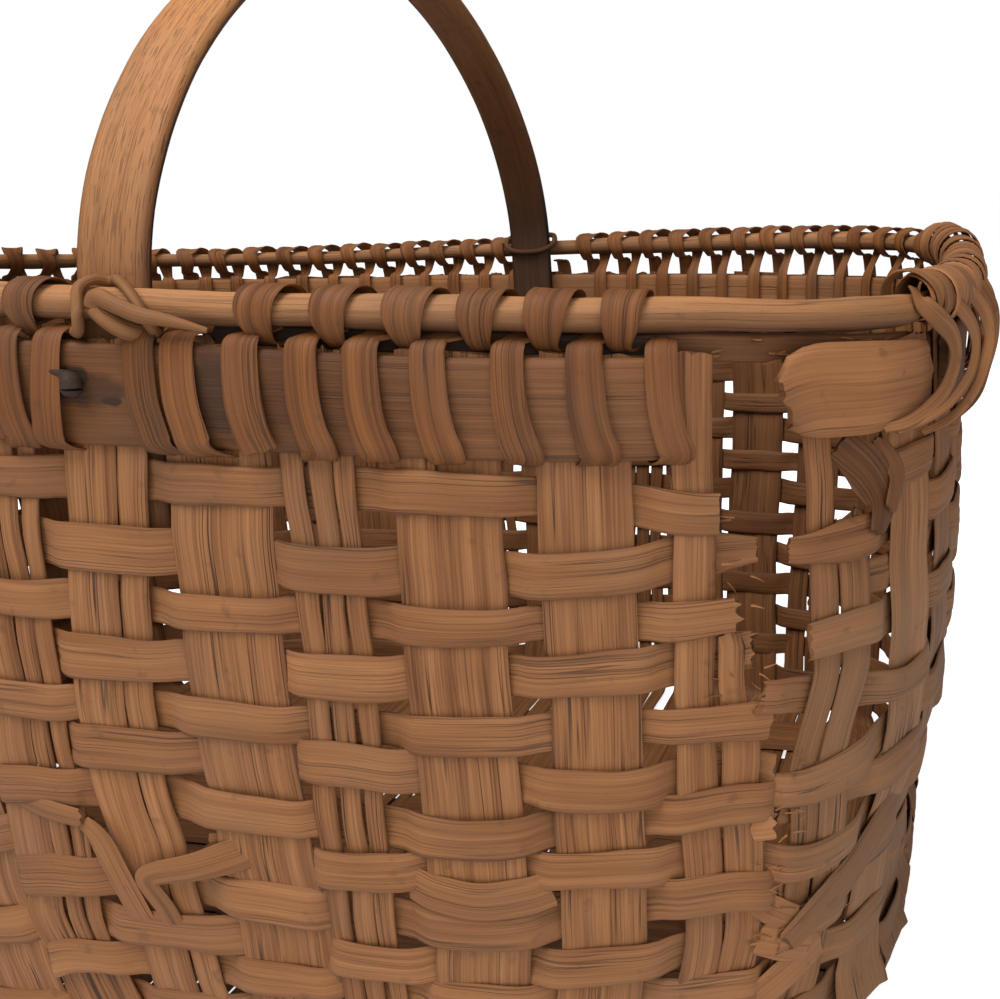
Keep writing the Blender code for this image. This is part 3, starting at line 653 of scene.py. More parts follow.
def rusty_iron():
    """Dark rusted iron: brown and black patches of noise on object coordinates."""
    material = bpy.data.materials.new("Rusted iron")
    material.use_nodes = True
    tree = material.node_tree
    shader = tree.nodes["Principled BSDF"]
    place = tree.nodes.new("ShaderNodeTexCoord")
    rust = add_node(tree, "ShaderNodeTexNoise", {"Vector": place.outputs["Object"],
                                                 "Scale": 900.0, "Detail": 4.0})
    colour = mixed(tree, rust.outputs["Fac"], (0.012, 0.008, 0.007, 1.0), (0.07, 0.035, 0.02, 1.0))
    relief = add_node(tree, "ShaderNodeBump", {"Height": rust.outputs["Fac"], "Strength": 0.6,
                                               "Distance": 0.0003})
    tree.links.new(colour, shader.inputs["Base Color"])
    tree.links.new(relief.outputs["Normal"], shader.inputs["Normal"])
    shader.inputs["Roughness"].default_value = 0.75
    shader.inputs["Metallic"].default_value = 0.4
    return material


# Stakes

# Split stakes: where each of the strips starts and ends across the stake's width
WHOLE = ((0.0, 1.0),)
STAKE_STRIPS = {-1: ((0.0, 0.52), (0.54, 0.76), (0.79, 1.0)), 0: ((0.0, 0.62), (0.64, 1.0)),
                2: ((0.04, 0.31), (0.34, 0.6), (0.63, 0.86)), 5: ((0.0, 0.47), (0.5, 1.0)),
                6: ((0.0, 0.46), (0.5, 1.0)), 9: ((0.0, 0.3), (0.33, 1.0))}
# Strips, by stake and number, that are torn off at a height, and what is left of one's width
TORN_STRIP_TOPS = {(5, 1): 0.152, (6, 1): 0.178}
TORN_STRIP_HEIGHTS = (0.05, 0.09, 0.105, 0.12, 0.13, 0.14, 0.146, 0.152)
TORN_STRIP_SHARES = (1.0, 1.0, 0.86, 0.95, 0.7, 0.62, 0.66, 0.4)
STAKE_WAVE = 0.0004
# Painted shade: how much darker splints are painted on the side that faces into the basket,
# standing in for the shade inside it
PAINTED_INSIDE_SHADE = 0.19
# Stake 7, under the fan at the near right corner, is painted lighter: painted light that lifts the
# shadow the fan casts on it
STAKE_PAINTED_LIGHT = {7: 0.64}
FLOOR_WIDTHS = {"near": 0.0278, "right": 0.0312}


def wall_run(wall, stake, step=0.004):
    """A stake's centre line from its top to the fold, pushed in where a weaver passes outside."""
    heights = np.arange(BAND_TOP - band_drop(stake), FOLD_TOP, -step)
    heights = np.append(heights, FOLD_TOP)
    phase = math.pi * (BAND_BOTTOM - ROW_PITCH / 2 - heights) / ROW_PITCH
    fade = np.clip((BAND_BOTTOM - heights) / ROW_PITCH, 0, 1) * np.clip(
        (heights - FOLD_TOP) / ROW_PITCH, 0, 1)
    parity = -1 if stake % 2 else 1
    return wall.woven(float(stake), heights, parity * STAKE_WAVE * np.cos(phase) * fade)


def fold_run(start, inward, steps=5):
    """A quarter turn from the wall into the floor."""
    angle = np.linspace(0, math.pi / 2, steps + 1)[1:, None]
    return start + (inward * (1 - np.cos(angle)) - UP * np.sin(angle)) * FOLD_RADIUS


def stake_path(wall, first, last, inward, floor_line, floor_across):
    """Line and across direction of a splint down one wall, over the floor and up the other."""
    down, up = wall_run(wall, first), wall_run(wall, last)
    first_fold, last_fold = fold_run(down[-1], inward), fold_run(up[-1], -inward)
    start, end = first_fold[-1], last_fold[-1]
    floor = floor_line(start, end)
    line = np.concatenate([down, first_fold, floor, last_fold[::-1], up[::-1]])
    run = np.linalg.norm(floor - start, axis=1)
    whole = np.linalg.norm(end - start)
    turned = np.clip(np.minimum(run, whole - run) / FOLD_RADIUS / 2, 0, 1)[:, None]
    nearer = (run < whole / 2)[:, None]
    first_along, last_along = wall.along(float(first)), -wall.along(float(last))
    blended = np.where(nearer, first_along, last_along) * (1 - turned) + floor_across * turned
    across = np.concatenate([
        np.broadcast_to(first_along, (len(down) + len(first_fold), 3)), unit(blended),
        np.broadcast_to(last_along, (len(last_fold) + len(up), 3))])
    return line, across


def crosswise_floor(start, end):
    """Straight across the floor, from one fold to the other."""
    share = np.linspace(0, 1, 40)[1:-1, None]
    return start + (end - start) * share


def lengthwise_floor(number):
    """Over and under the crosswise splints: a flattened cosine of the distance in their pitch."""
    def line(start, end):
        share = np.linspace(0, 1, 200)[1:-1, None]
        points = start + (end - start) * share
        end_of_weave = CROSSWISE / 2 * CROSSWISE_PITCH + FLOOR_FADE
        fade = np.clip((end_of_weave - np.abs(points[:, 0])) / FLOOR_FADE, 0, 1)
        phase = math.pi * (points[:, 0] / CROSSWISE_PITCH + number)
        points[:, 2] += FLOOR_WAVE * flat_wave(phase, 6.0) * fade
        return points
    return line


def stake_parts(sizes, line, across, stakes, floor_width, seed):
    """Ribbons side by side along one splint's line, each with its share of the width. The width
    is that of the first wall, then the floor's, then that of the second wall."""
    length = run_length(line)
    middle = length < length[-1] / 2
    widths = all_round(STAKE_WIDTHS, 52, 0.0235, 0.0275) * sizes.stake_width / 0.024
    widths[FAR_STAKES] = FAR_WIDTH
    widths[SEEN_STAKES] = SEEN_WIDTHS
    wall_width = np.where(middle, widths[stakes[0] % STAKES], widths[stakes[1] % STAKES])
    up = np.clip((line[:, 2] - FOLD_TOP * 0.4) / 0.03, 0, 1)
    whole = floor_width + (wall_width - floor_width) * up
    parts = []
    for strip, (left, right) in enumerate(STAKE_STRIPS.get(stakes[0], WHOLE)):
        size = (right - left) * whole + wander(length, (seed, strip, 2), 0.07, 0.0005)
        shift = ((left + right) / 2 - 0.5) * whole + wander(length, (seed, strip, 1), 0.11, 0.0005)
        tone = (STAKE_PAINTED_LIGHT.get(stakes[0], 0.5) + wander(length, (seed, strip, 3), 0.25, 0.05)
                + wander(0.0, (seed, 4), 1.0, 0.04))
        kept = np.ones(len(line), dtype=bool)
        if (stakes[0], strip) in TORN_STRIP_TOPS:
            kept = ~middle | (line[:, 2] < TORN_STRIP_TOPS[stakes[0], strip])
        if (stakes[0], strip) == (5, 1):
            torn = np.where(middle, np.interp(line[:, 2], TORN_STRIP_HEIGHTS, TORN_STRIP_SHARES), 1)
            shift = shift - size * (1 - torn) / 2
            size = size * torn
        ragged = (0.0015, 0.0015) if kept.all() else (0.005, 0.001)
        # Painted shade: each strip is darker on its face into the basket and at its edges
        parts.append(ribbon((line + across * shift[:, None])[kept], across[kept], size[kept],
                            sizes.stake_thickness, seed=seed * 7 + strip,
                            tone=tone[kept] - PAINTED_INSIDE_SHADE, normal_tone=PAINTED_INSIDE_SHADE,
                            ragged=ragged, ridge=0.0002, edge_tone=-0.16))
    return parts


class BASKET_OT_stakes(bpy.types.Operator):
    """Build the splints of the floor, which fold up as the stakes of the wall."""

    bl_idname = "basket.stakes"
    bl_label = "Stakes"

    def execute(self, context):
        sizes = context.scene.basket_sizes
        wall = Wall(sizes)
        material = wood("Stake splint", sizes.splint_light, sizes.splint_dark, 4.4, 1.0)
        reach = CROSSWISE // 2
        for number in range(-reach, reach + 1):
            stakes = (number, STAKES // 2 - number)
            line, across = stake_path(wall, *stakes, np.array([0.0, 1.0, 0.0]),
                                      crosswise_floor, np.array([1.0, 0.0, 0.0]))
            label = number + reach + 1
            add_piece(f"crosswise_splint_{label:02d}",
                      stake_parts(sizes, line, across, stakes, FLOOR_WIDTHS["near"], label),
                      material, [f"crosswise_stake_{label:02d}"])
        reach = LENGTHWISE // 2
        quarter = STAKES // 4
        for number in range(-reach, reach + 1):
            stakes = (quarter + number, 3 * quarter - number)
            line, across = stake_path(wall, *stakes, np.array([-1.0, 0.0, 0.0]),
                                      lengthwise_floor(number), np.array([0.0, 1.0, 0.0]))
            label = number + reach + 1
            add_piece(f"lengthwise_splint_{label}",
                      stake_parts(sizes, line, across, stakes, FLOOR_WIDTHS["right"], 40 + label),
                      material, [f"lengthwise_stake_{label}"])
        return {"FINISHED"}


# Weavers

# Each torn row: where the row's end stands, where its start stands, how far that has risen, and
# the shares of the height that are left at the start and the end
TORN_ROWS = {1: (5.0, 6.55, 0, 1, 1), 2: (5.32, 5.56, 0, 0.6, 0.55), 3: (5.12, 5.8, 0, 1, 0.9),
             4: (5.26, 5.7, 0, 0.9, 0.8), 5: (5.38, 5.34, 0.007, 0.8, 1),
             6: (5.5, 5.42, -0.005, 0.8, 1), 7: (5.52, 5.6, -0.003, 1, 1),
             8: (-0.62, 0.52, 0, 1, 1), 9: (5.56, 5.6, 0, 1, 1), 10: (5.5, 5.62, 0, 1, 1)}
# Rows that stay inside a stake that they should pass outside
FLOATS = {3: (7,)}
# Where the top whole row laps over its own start, and how much further on each next one does
FIRST_LAP_STAKE = 24
LAP_STEP = 3
WAVE_FLATNESS = 3.2
# How much of the usual height each row has
ROW_SHARES = (0.85, 0.96, 0.8, 0.94, 0.83, 0.96, 0.92, 0.9, 0.97, 0.95, 0.9, 0.95)
# Loose and folded ends: (row, tone, widths in mm, stations of place, height and offset in mm)
LOOSE_ENDS = (
    (8, 0.5, (5.0, 7.6, 7.6, 7.0), ((-0.72, 88, 2.0), (-0.57, 83.8, 3.2), (-0.45, 73, 3.6),
                                    (-0.34, 58, 2.6), (-0.33, 54, 1.2))),
    (8, 0.46, (12.0, 9.0, 7.0, 6.6, 6.6, 6.0), (
        (0.95, 84, -1.2), (0.64, 80.2, 1.6), (0.3, 76.8, 3.4), (-0.02, 74.6, 4.2),
        (-0.15, 72.4, 4.4), (-0.13, 68, 3.8), (-0.06, 62, 3.0), (0.0, 54, 2.2), (0.03, 49, 1.0))),
    (9, 0.5, (10.0, 12.0, 12.0, 11.0), ((2.38, 75.6, 0.4), (2.6, 73.6, 2.0), (3.0, 71.6, 2.6),
                                        (3.4, 73.2, 1.6), (3.62, 75, 0.2))),
    (7, 0.42, (6.0, 6.5, 6.0), ((-1.5, 96, 0.2), (-1.1, 92, 2.2), (-0.74, 90, 3.0))),
    (10, 0.4, (9.0, 12.5, 12.0, 11.0), ((5.86, 49.5, 3.6), (6.2, 57.0, 4.0), (6.63, 63.5, 3.4),
                                        (7.1, 72.5, 2.2), (7.5, 76, 0.5))),
    (6, 0.85, (7.4, 7.6, 7.4), ((5.39, 89.3, 0.6), (5.45, 89.2, 1.0), (5.52, 89.1, 1.2))),
    (8, 0.58, (8.0, 9.0, 8.0), ((5.45, 66, -0.6), (5.7, 60, 0.9), (5.9, 56, 1.8))),
    (10, 0.66, (11.0, 13.0, 12.0), ((5.58, 53, 1.2), (5.85, 49, 2.0), (6.15, 44, 2.6))),
    (11, 0.62, (10.0, 12.0, 12.0), ((5.62, 30, 0.8), (5.9, 36, 2.2), (6.25, 43, 3.0))),
    (2, 0.12, (9.0, 15.0, 13.0, 6.0), ((6.05, 199, 0.6), (6.3, 191, 2.6), (6.45, 182, 3.6),
                                      (6.35, 174, 5.2))),
    (2, 0.24, (5.0, 8.0, 6.0), ((6.5, 198, 1.0), (6.62, 189, 4.0), (6.5, 180, 5.6))),
)


def row_height(row, place):
    """Height of a row's middle: even steps, less the drop, which is smooth between stakes."""
    drops = all_round(ROW_DROPS[row - 1], (53, row), -0.3, 1.2) / 1000
    return (BAND_BOTTOM - (row - 0.5) * ROW_PITCH - through(drops[:, None], place)[..., 0]
            + wander(place, (row, 11), 5.0, 0.0004) + wander(place, (row, 12), 1.9, 0.00025)
            - band_drop(place) * np.clip(1 - row / 4, 0, 1))


def weaver_part(sizes, wall, row, start, end, seed, lift=0.0, rise=0.0, ragged=(0.0015, 0.0015),
                tone=0.5, left=(1.0, 1.0)):
    """A row's splint from one place to another: outside a stake, inside the next. A rise at the
    start fades over a stake and a half. Of its height a share is left at either end."""
    place = np.append(np.arange(start, end, 1 / 12), end)
    phase = math.pi * (place + row)
    offset = sizes.weave_depth * flat_wave(phase, WAVE_FLATNESS) + lift
    for stake in FLOATS.get(row, ()):
        offset -= 2 * sizes.weave_depth * np.exp(-((place % STAKES - stake) / 0.5) ** 4)
    offset = offset + wander(place, (seed, 5), 2.7, 0.0002)
    height = row_height(row, place) + rise * np.clip(1 - (place - start) / 1.5, 0, 1)
    line = wall.woven(place, height, offset)
    lean = wander(place, (seed, 6), 2.1, 0.1)[:, None]
    width = (np.interp(place % STAKES, (8, 13, 28, 33), (0, -0.0012, -0.0012, 0))
             + sizes.weaver_height * ROW_SHARES[(row - 1) % len(ROW_SHARES)]
             + wander(place, (seed, 7), 2.7, 0.0009))
    width = width * np.interp(place, (start, start + 0.45, end - 0.4, end),
                              (left[0], 1, 1, left[1]))
    tones = tone + wander(place, (seed, 8), 4.0, 0.07) + wander(0.0, (seed, 9), 1.0, 0.05)
    bulge = 0.0005 * flat_wave(phase, WAVE_FLATNESS)
    # Painted shade: the row is darker on its face into the basket and at its edges
    return ribbon(line, UP + wall.outward(place) * lean, width, sizes.weaver_thickness, seed=seed,
                  bulge=bulge, ragged=ragged, tone=tones - PAINTED_INSIDE_SHADE, faces_across=12,
                  normal_tone=PAINTED_INSIDE_SHADE, edge_tone=-0.16)


class BASKET_OT_weavers(bpy.types.Operator):
    """Build the rows of the wall, one splint each, with their torn, folded and curled ends."""

    bl_idname = "basket.weavers"
    bl_label = "Weavers"

    def execute(self, context):
        sizes = context.scene.basket_sizes
        wall = Wall(sizes)
        material = wood("Weaver splint", sizes.splint_light, sizes.splint_dark, 3.0, 0.7)
        for row in range(1, ROWS + 1):
            if row in TORN_ROWS:
                end, start, rise, *left = TORN_ROWS[row]
                ragged = (0.0008, 0.0008) if row < 3 else (0.003, 0.0032)
                parts = [weaver_part(sizes, wall, row, start, end + STAKES, 100 + row, rise=rise,
                                     ragged=ragged, left=left)]
            else:
                first = FIRST_LAP_STAKE + LAP_STEP * row
                first += (first + row) % 2
                parts = [weaver_part(sizes, wall, row, first - 0.35, first + STAKES - 0.5,
                                     100 + row),
                         weaver_part(sizes, wall, row, first + STAKES - 0.7, first + STAKES + 0.4,
                                     130 + row, lift=sizes.weaver_thickness)]
            parts += [splint(wall, stations, widths, sizes.weaver_thickness * 0.8, 160 + number,
                             tone, (0.002, 0.002))
                      for number, (owner, tone, widths, stations) in enumerate(LOOSE_ENDS)
                      if owner == row]
            if row == 3:
                parts += splinters(wall, 700, 16, (4.95, 118), (5.25, 190), 0.5)
            if row == 8:
                parts += splinters(wall, 740, 26, (5.42, 45), (5.85, 112), 2.0)
            if row == 5:
                parts += splinters(wall, 780, 8, (5.3, 122), (5.42, 140), 0.2)
            add_piece(f"weaver_splint_{row:02d}", parts, material, [f"weaver_{row:02d}"])
        return {"FINISHED"}


# Rim

BAND_OFFSET = 0.0025
BAND_THICKNESS = 0.003
BAND_FACE = BAND_OFFSET + BAND_THICKNESS / 2
# Lengths of the two bands: (places, middle heights in mm, heights in mm, tones, offset in mm,
# bulge in mm)
BAND_LENGTHS = {
    "outer": (((7.7, 39.0, 41.7, 43.5, STAKES + 4.6), (212.35,) * 5, (26.3,) * 5,
               (0.17, 0.17, 0.08, 0.28, 0.26), 2.5, 0.2),
              ((5.49, 5.53, 5.62, 5.8, 6.3, 6.95, 7.14),
               (212.9, 213.4, 214.4, 214.8, 213.8, 213.6, 214.0),
               (14, 19, 23.5, 25.5, 26, 23, 21),
               (0.5, 0.56, 0.6, 0.66, 0.68, 0.46, 0.2), 3.0, 1.0)),
    # The inner band is painted dark at its start by the near right corner, and its short length
    # under the near rod is dark all along: painted shade in the gaps between the strips and in the
    # slot under the rod
    "inner": (((7.15, 8.6, 12.0, 28.0, 33.0, STAKES + 4.76), (212.35,) * 6, (26.3,) * 6,
               (0.05, 0.42, 0.66, 0.66, 0.42, 0.42), -2.5, 0.2),
              ((0.95, 4.3, 4.8, 7.2), (228.0, 227.8, 227.4, 222.6), (6.4, 7.0, 7.6, 7.0),
               (-0.14, -0.14, 0.24, 0.24), -3.4, 0.0))}
# Rust and dirt on the bands round the near nail, and, the last one, painted shade in the recess
# where the band is set back to its right: (centre, size, strength)
NAIL_STAINS_AND_RECESS_SHADE = (((-0.0022, -0.163, 0.2142), (0.0135, 0.008, 0.0046), 0.62),
          ((-0.0075, -0.163, 0.2172), (0.008, 0.007, 0.0032), 0.95),
          ((0.005, -0.163, 0.2112), (0.0036, 0.006, 0.0013), 0.9),
          ((0.0325, -0.163, 0.2135), (0.0085, 0.008, 0.0125), 0.62))


class BASKET_OT_rim_bands(bpy.types.Operator):
    """Build the two flat hoops that clamp the stakes' tops, broken in the near wall."""

    bl_idname = "basket.rim_bands"
    bl_label = "Rim bands"

    def execute(self, context):
        sizes = context.scene.basket_sizes
        wall = Wall(sizes)
        material = wood("Band wood", sizes.splint_light, sizes.splint_dark, 2.4, 0.6,
                        weathering=0.4, stains_and_shade=NAIL_STAINS_AND_RECESS_SHADE)
        for name, lengths in BAND_LENGTHS.items():
            parts = []
            for seed, (places, middles, heights, tones, offset, bulge) in enumerate(lengths, 200):
                place = np.linspace(places[0], places[-1], int(12 * (places[-1] - places[0])))
                height, width, tone = (np.interp(place, places, values)
                                       for values in (middles, heights, tones))
                height = height / 1000 - band_drop(place) + wander(place, (seed, 21), 9.0, 0.0005)
                line = wall.point(place, height, offset / 1000)
                width = width / 1000 + wander(place, (seed, 22), 5.0, 0.0005)
                parts.append(ribbon(line, UP, width, BAND_THICKNESS, seed=seed,
                                    bulge=bulge / 1000, ragged=(0.002, 0.002), faces_across=16,
                                    tone=tone + wander(place, (seed, 23), 4.0, 0.05)))
            if name == "inner":
                parts += splinters(wall, 820, 14, (4.8, 222), (6.9, 229), -1.2, 0.1)
            add_piece(f"{name}_band", parts, material, [f"{name}_rim_band"])
        return {"FINISHED"}


def rod_part(line, radius, seed, tone, sides=14, painted_top_light=0.0):
    """A round stick carried along a line: the radius times the cosine and sine of the angle, with a
    swell that wanders along each side. The tone rises by the painted top light times the sine, a
    painted highlight on top and painted shade underneath."""
    line = np.asarray(line, dtype=float)
    count = len(line)
    tangent = unit(np.gradient(line, axis=0))
    side = unit(np.cross(tangent, UP + 1e-6))
    top = np.cross(side, tangent)
    angle = np.linspace(0, 2 * math.pi, sides, endpoint=False)
    length = run_length(line)
    swell = 1 + np.stack([wander(length, (seed, column), 0.06, 0.05) for column in range(sides)], 1)
    radius = np.broadcast_to(radius, count)
    reach = (radius[:, None] * swell)[..., None]
    points = line[:, None] + reach * (side[:, None] * np.cos(angle)[None, :, None]
                                      + top[:, None] * np.sin(angle)[None, :, None])
    girth = radius.max() * np.abs(angle - math.pi)
    uv = np.stack(np.broadcast_arrays(length[:, None], girth[None]), -1)
    tones = np.broadcast_to(tone, count)[:, None] + painted_top_light * np.sin(angle)
    return points.reshape(-1, 3), closed_faces(count, sides), uv.reshape(-1, 2), tones.ravel()


# The rod's start, its sag and its size by place, and how the close roll pushes it outwards
ROD_START = 7.25
ROD_SAG_PLACES = (38, 42, 45, 46, 47, 47.45)
ROD_SAGS = (0, 0, 0.0004, 0.0011, 0.0018, 0.002)
ROD_SIZE_PLACES = (7.2, 9, 12, 14, 18.4, 20, 27, 31, 36, 46.2, 46.9, 47.3, 47.45)
ROD_SIZES = (0.5, 0.95, 0.92, 0.9, 0.95, 0.8, 0.76, 0.95, 1.0, 1.05, 1.05, 0.9, 0.5)
ROLL_PLACES = (7.0, 7.8, 9.5, 11.5, 12.6, 40, 46.6, 47.4)
ROLL_SHIFTS = (0, 0.0026, 0.0034, 0.0024, 0, 0, 0, -0.001)


class BASKET_OT_rim_rod(bpy.types.Operator):
    """Build the round stick that lies above the bands, with its split end at the near right."""

    bl_idname = "basket.rim_rod"
    bl_label = "Rim rod"

    def execute(self, context):
        sizes = context.scene.basket_sizes
        wall = Wall(sizes)
        material = wood("Rod wood", sizes.rod_light, sizes.rod_dark, 2.6, 0.55, 0.15,
                        weathering=0.35, specular=0.4)
        place = np.linspace(ROD_START, STAKES + 7.42, 500)
        height = (ROD_HEIGHT + wander(place, 31, 6.0, 0.0005)
                  - np.interp(place, ROD_SAG_PLACES, ROD_SAGS))
        line = wall.point(place, height, wander(place, 32, 7.0, 0.0004)
                          + np.interp(place, ROLL_PLACES, ROLL_SHIFTS))
        radius = ROD_RADIUS * np.interp(place, ROD_SIZE_PLACES, ROD_SIZES)
        tone = 0.5 + wander(place, 35, 8.0, 0.06)
        # The rod's top is painted lighter and its underside darker: painted highlight and painted
        # shade
        parts = [rod_part(line, radius * (1 + wander(place, 33, 4.0, 0.04)), 34, tone,
                          painted_top_light=0.42)]
        parts += splinters(wall, 860, 9, (7.25, 229), (7.4, 234), 1.5, 0.12)
        add_piece("rod", parts, material, ["rim_rod"])
        return {"FINISHED"}


# Lashing

LASH_THICKNESS = 0.0008
LASH_GAP = 0.0005
CORNER_TURNS = tuple(9.7 + 0.4 * turn for turn in range(6))
LASH_TURNS = {
    "lashing_near_right": (1.28, 1.77, 2.24, 2.76, 3.36, 3.93, 4.5),
    "lashing_right": CORNER_TURNS + tuple(12.1 + 0.5 * turn for turn in range(16)),
    "lashing_far_left": tuple(20.5 + 0.5 * turn for turn in range(20)),
    "lashing_near_left": tuple(30.1 + 0.5 * turn for turn in range(17)) + (38.62, 39.29, 39.67),
}
NEAR_WRAPS = (1.43, 2.02, 2.6, 3.15, 3.66, 4.22)
# How the turns lie along the rim: the foot's shift, the strip's bow, the arch over the rod, the
# share of the width, how far a loop over the rod leans back along it, where the loop stands
# between a turn and the next, and the tone
LASH_PLACES = (0, 5, 9.5, 11, 13, 27, 30, 39.2, 39.7, 40)
FOOT_SHIFTS = (0.11, 0.11, -0.35, -0.1, 0.1, 0.1, 0.12, 0.1, -0.06, 0.11)
STRIP_BOWS = (1.3, 1.3, 5.5, 2.5, 1.2, 1.2, 1.3, 1.3, 2.6, 1.3)
ROD_ARCHES = (0.1, 0.1, 1.4, 0.9, 0.9, 0.9, 0.4, 0.1, 0.1, 0.1)
WIDTH_SHARES = (1.0, 1.0, 0.6, 0.6, 0.72, 0.72, 0.8, 0.9, 0.8, 1.0)
FULL_LEAN = 0.18
ARCH_VARIATION = 0.5
LOOP_LEANS = (0.0, 0.0, 0.0, 0.12, 0.18, 0.18, 0.06, 0.0, 0.0, 0.0)
WRAP_WAYS = (0.42, 0.42, 0.42, 0.0, -0.16, -0.16, 0.2, 0.42, 0.42, 0.42)
LASH_TONES = (0.5, 0.5, 0.5, 0.65, 0.8, 0.8, 0.6, 0.5, 0.5, 0.5)
# The roll round the near right corner: how often it goes round the rod between two places, its
# gap to the rod, and the open loop at its start (place, offset, height over the rod, width)
ROLL = (7.12, 12.8, 29.0, 0.0034)
ROLL_STEPS = 22
ROLL_WIDTH, ROLL_WIDTH_SPREAD = 0.0073, 0.0008
OPEN_LOOP = ((7.4, 3.6, -6.0, 5.0), (7.28, 7.4, -1.5, 5.6), (7.16, 7.4, 4.6, 6.0),
             (7.08, 3.0, 8.6, 6.0), (7.02, -2.6, 8.6, 6.0), (7.02, -6.8, 4.6, 5.6),
             (7.08, -6.8, -1.0, 5.2), (7.16, -4.0, -4.4, 4.6))
# Strips that fan out from the roll and come together below the bands: (place, height, offset),
# and the first one's widths in mm
FAN_WIDTHS = np.array((5.2, 6.4, 6.2, 4.6, 2.8))
FAN = (((7.02, 239.5, 2.0), (6.98, 236, 5.4), (7.12, 231.5, 8.0), (7.42, 225, 8.6), (7.5, 218, 8.6),
        (7.28, 210.5, 8.2), (6.95, 206, 7.6), (6.68, 203.4, 6.4), (6.48, 202.2, 3.4)),
       ((7.5, 240.5, 3.0), (7.45, 236, 8.0), (7.75, 229, 10.5), (8.0, 221, 11.0), (7.88, 213, 10.4),
        (7.38, 207, 9.2), (6.95, 203.8, 8.4), (6.6, 201.2, 5.2)),
       ((7.9, 241, 3.0), (7.92, 236.5, 9.6), (8.2, 229, 13.0), (8.38, 220, 13.6), (8.18, 211, 12.0),
        (7.75, 204.8, 10.4), (7.35, 200.8, 8.2), (7.05, 198, 4.0)),
       ((8.35, 241.5, 4.0), (8.4, 237, 10.4), (8.62, 229, 14.0), (8.75, 219.5, 14.0),
        (8.58, 210, 11.6), (8.15, 204, 10.2), (7.8, 200, 7.2), (7.45, 197, 3.0)),
       ((8.85, 241, 4.0), (8.92, 236, 10.4), (9.1, 228, 13.0), (9.18, 218, 12.4), (9.0, 209, 10.4),
        (8.7, 203, 8.6), (8.35, 198, 5.0)),
       ((9.4, 241, 4.0), (9.45, 235, 10.0), (9.6, 227, 11.6), (9.65, 217, 10.6), (9.5, 208, 8.6),
        (9.2, 202, 7.0), (8.95, 197.6, 4.0)))


def lash_strip(place, sizes):
    """A turn's outer strip from below the bands to below the rod, as stations of place, offset,
    height over the rod's centre and width. It bows out by a sine of its height."""
    shift, bow, share = (np.interp(place % STAKES, LASH_PLACES, values)
                         for values in (FOOT_SHIFTS, STRIP_BOWS, WIDTH_SHARES))
    reach = BAND_FACE + LASH_GAP + LASH_THICKNESS / 2
    drop = band_drop(place)
    top, foot = BAND_TOP - ROD_HEIGHT - drop, BAND_BOTTOM - ROD_HEIGHT - drop
    bow /= 1000
    strip = sizes.lash_width * 0.74 * (0.4 + 0.6 * share)
    return [(place + shift, reach + 0.1 * bow, foot + 0.001, strip * 1.05),
            (place + 0.55 * shift, reach + 0.8 * bow, foot * 0.75 + top * 0.25, strip),
            (place + 0.15 * shift, reach + bow, foot * 0.45 + top * 0.55, strip),
            (place, reach + 0.45 * bow, top - 0.001, strip * 0.95),
            (place + 0.01, reach * 0.75 + 0.2 * bow, -0.0072, strip * 0.9),
            (place + 0.05, 0.0, -0.0060, strip * 0.7)]


def lash_turn(place, ahead, wrap, sizes):
    """One turn: the outer strip, inside under the rod, over it and down its outer side, inside
    again, down the inner band and below the bands to the next turn's place. A loop that leans
    goes back along the rod, and its strip on the inner band then hangs straight. The arch
    varies from turn to turn."""
    arch, share, lean = (np.interp(wrap % STAKES, LASH_PLACES, values)
                         for values in (ROD_ARCHES, WIDTH_SHARES, LOOP_LEANS))
    arch *= 1 + wander(wrap, 77, 0.83, ARCH_VARIATION)
    back, straight = lean / 2, 1 - lean / FULL_LEAN
    gap = LASH_GAP + LASH_THICKNESS / 2
    reach = BAND_FACE + gap
    round_again = wrap % STAKES + (STAKES if wrap % STAKES < ROD_START else 0)
    loop = ROD_RADIUS * np.interp(round_again, ROD_SIZE_PLACES, ROD_SIZES) + gap
    over = sizes.lash_width * share * 0.86
    rise = arch / 1000
    drop = band_drop(place)
    top, foot = BAND_TOP - ROD_HEIGHT - drop, BAND_BOTTOM - ROD_HEIGHT - drop
    return lash_strip(place, sizes) + [
        (wrap + 0.06 * share + back, -loop, -loop * 0.35, over * 0.8),
        (wrap + 0.1 * share + back, -loop * 0.8, loop * 0.75 + rise * 0.6, over),
        (wrap + 0.05 * share, loop * 0.1, loop * 1.1 + rise, over),
        (wrap - back, loop * 0.9, loop * 0.62 + rise * 0.6, over * 0.97),
        (wrap - 0.02 * share - back, loop * 1.02, -loop * 0.4, over * 0.86),
        (wrap - 0.02 - back * 1.05, 0.0, -0.0086, over * 0.55),
        (wrap + 0.1 * straight - back * 1.1, -reach, top, over * 0.72),
        (wrap + 0.22 * straight - back, -reach - 0.0004, foot / 2 + top / 2, over * 0.78),
        (wrap + 0.28 * straight - back * 0.9, -reach, foot + 0.001, over * 0.78),
        ((wrap + 0.3 * straight - back + ahead) / 2, 0.0, foot - gap - 0.0006, over * 0.65)]


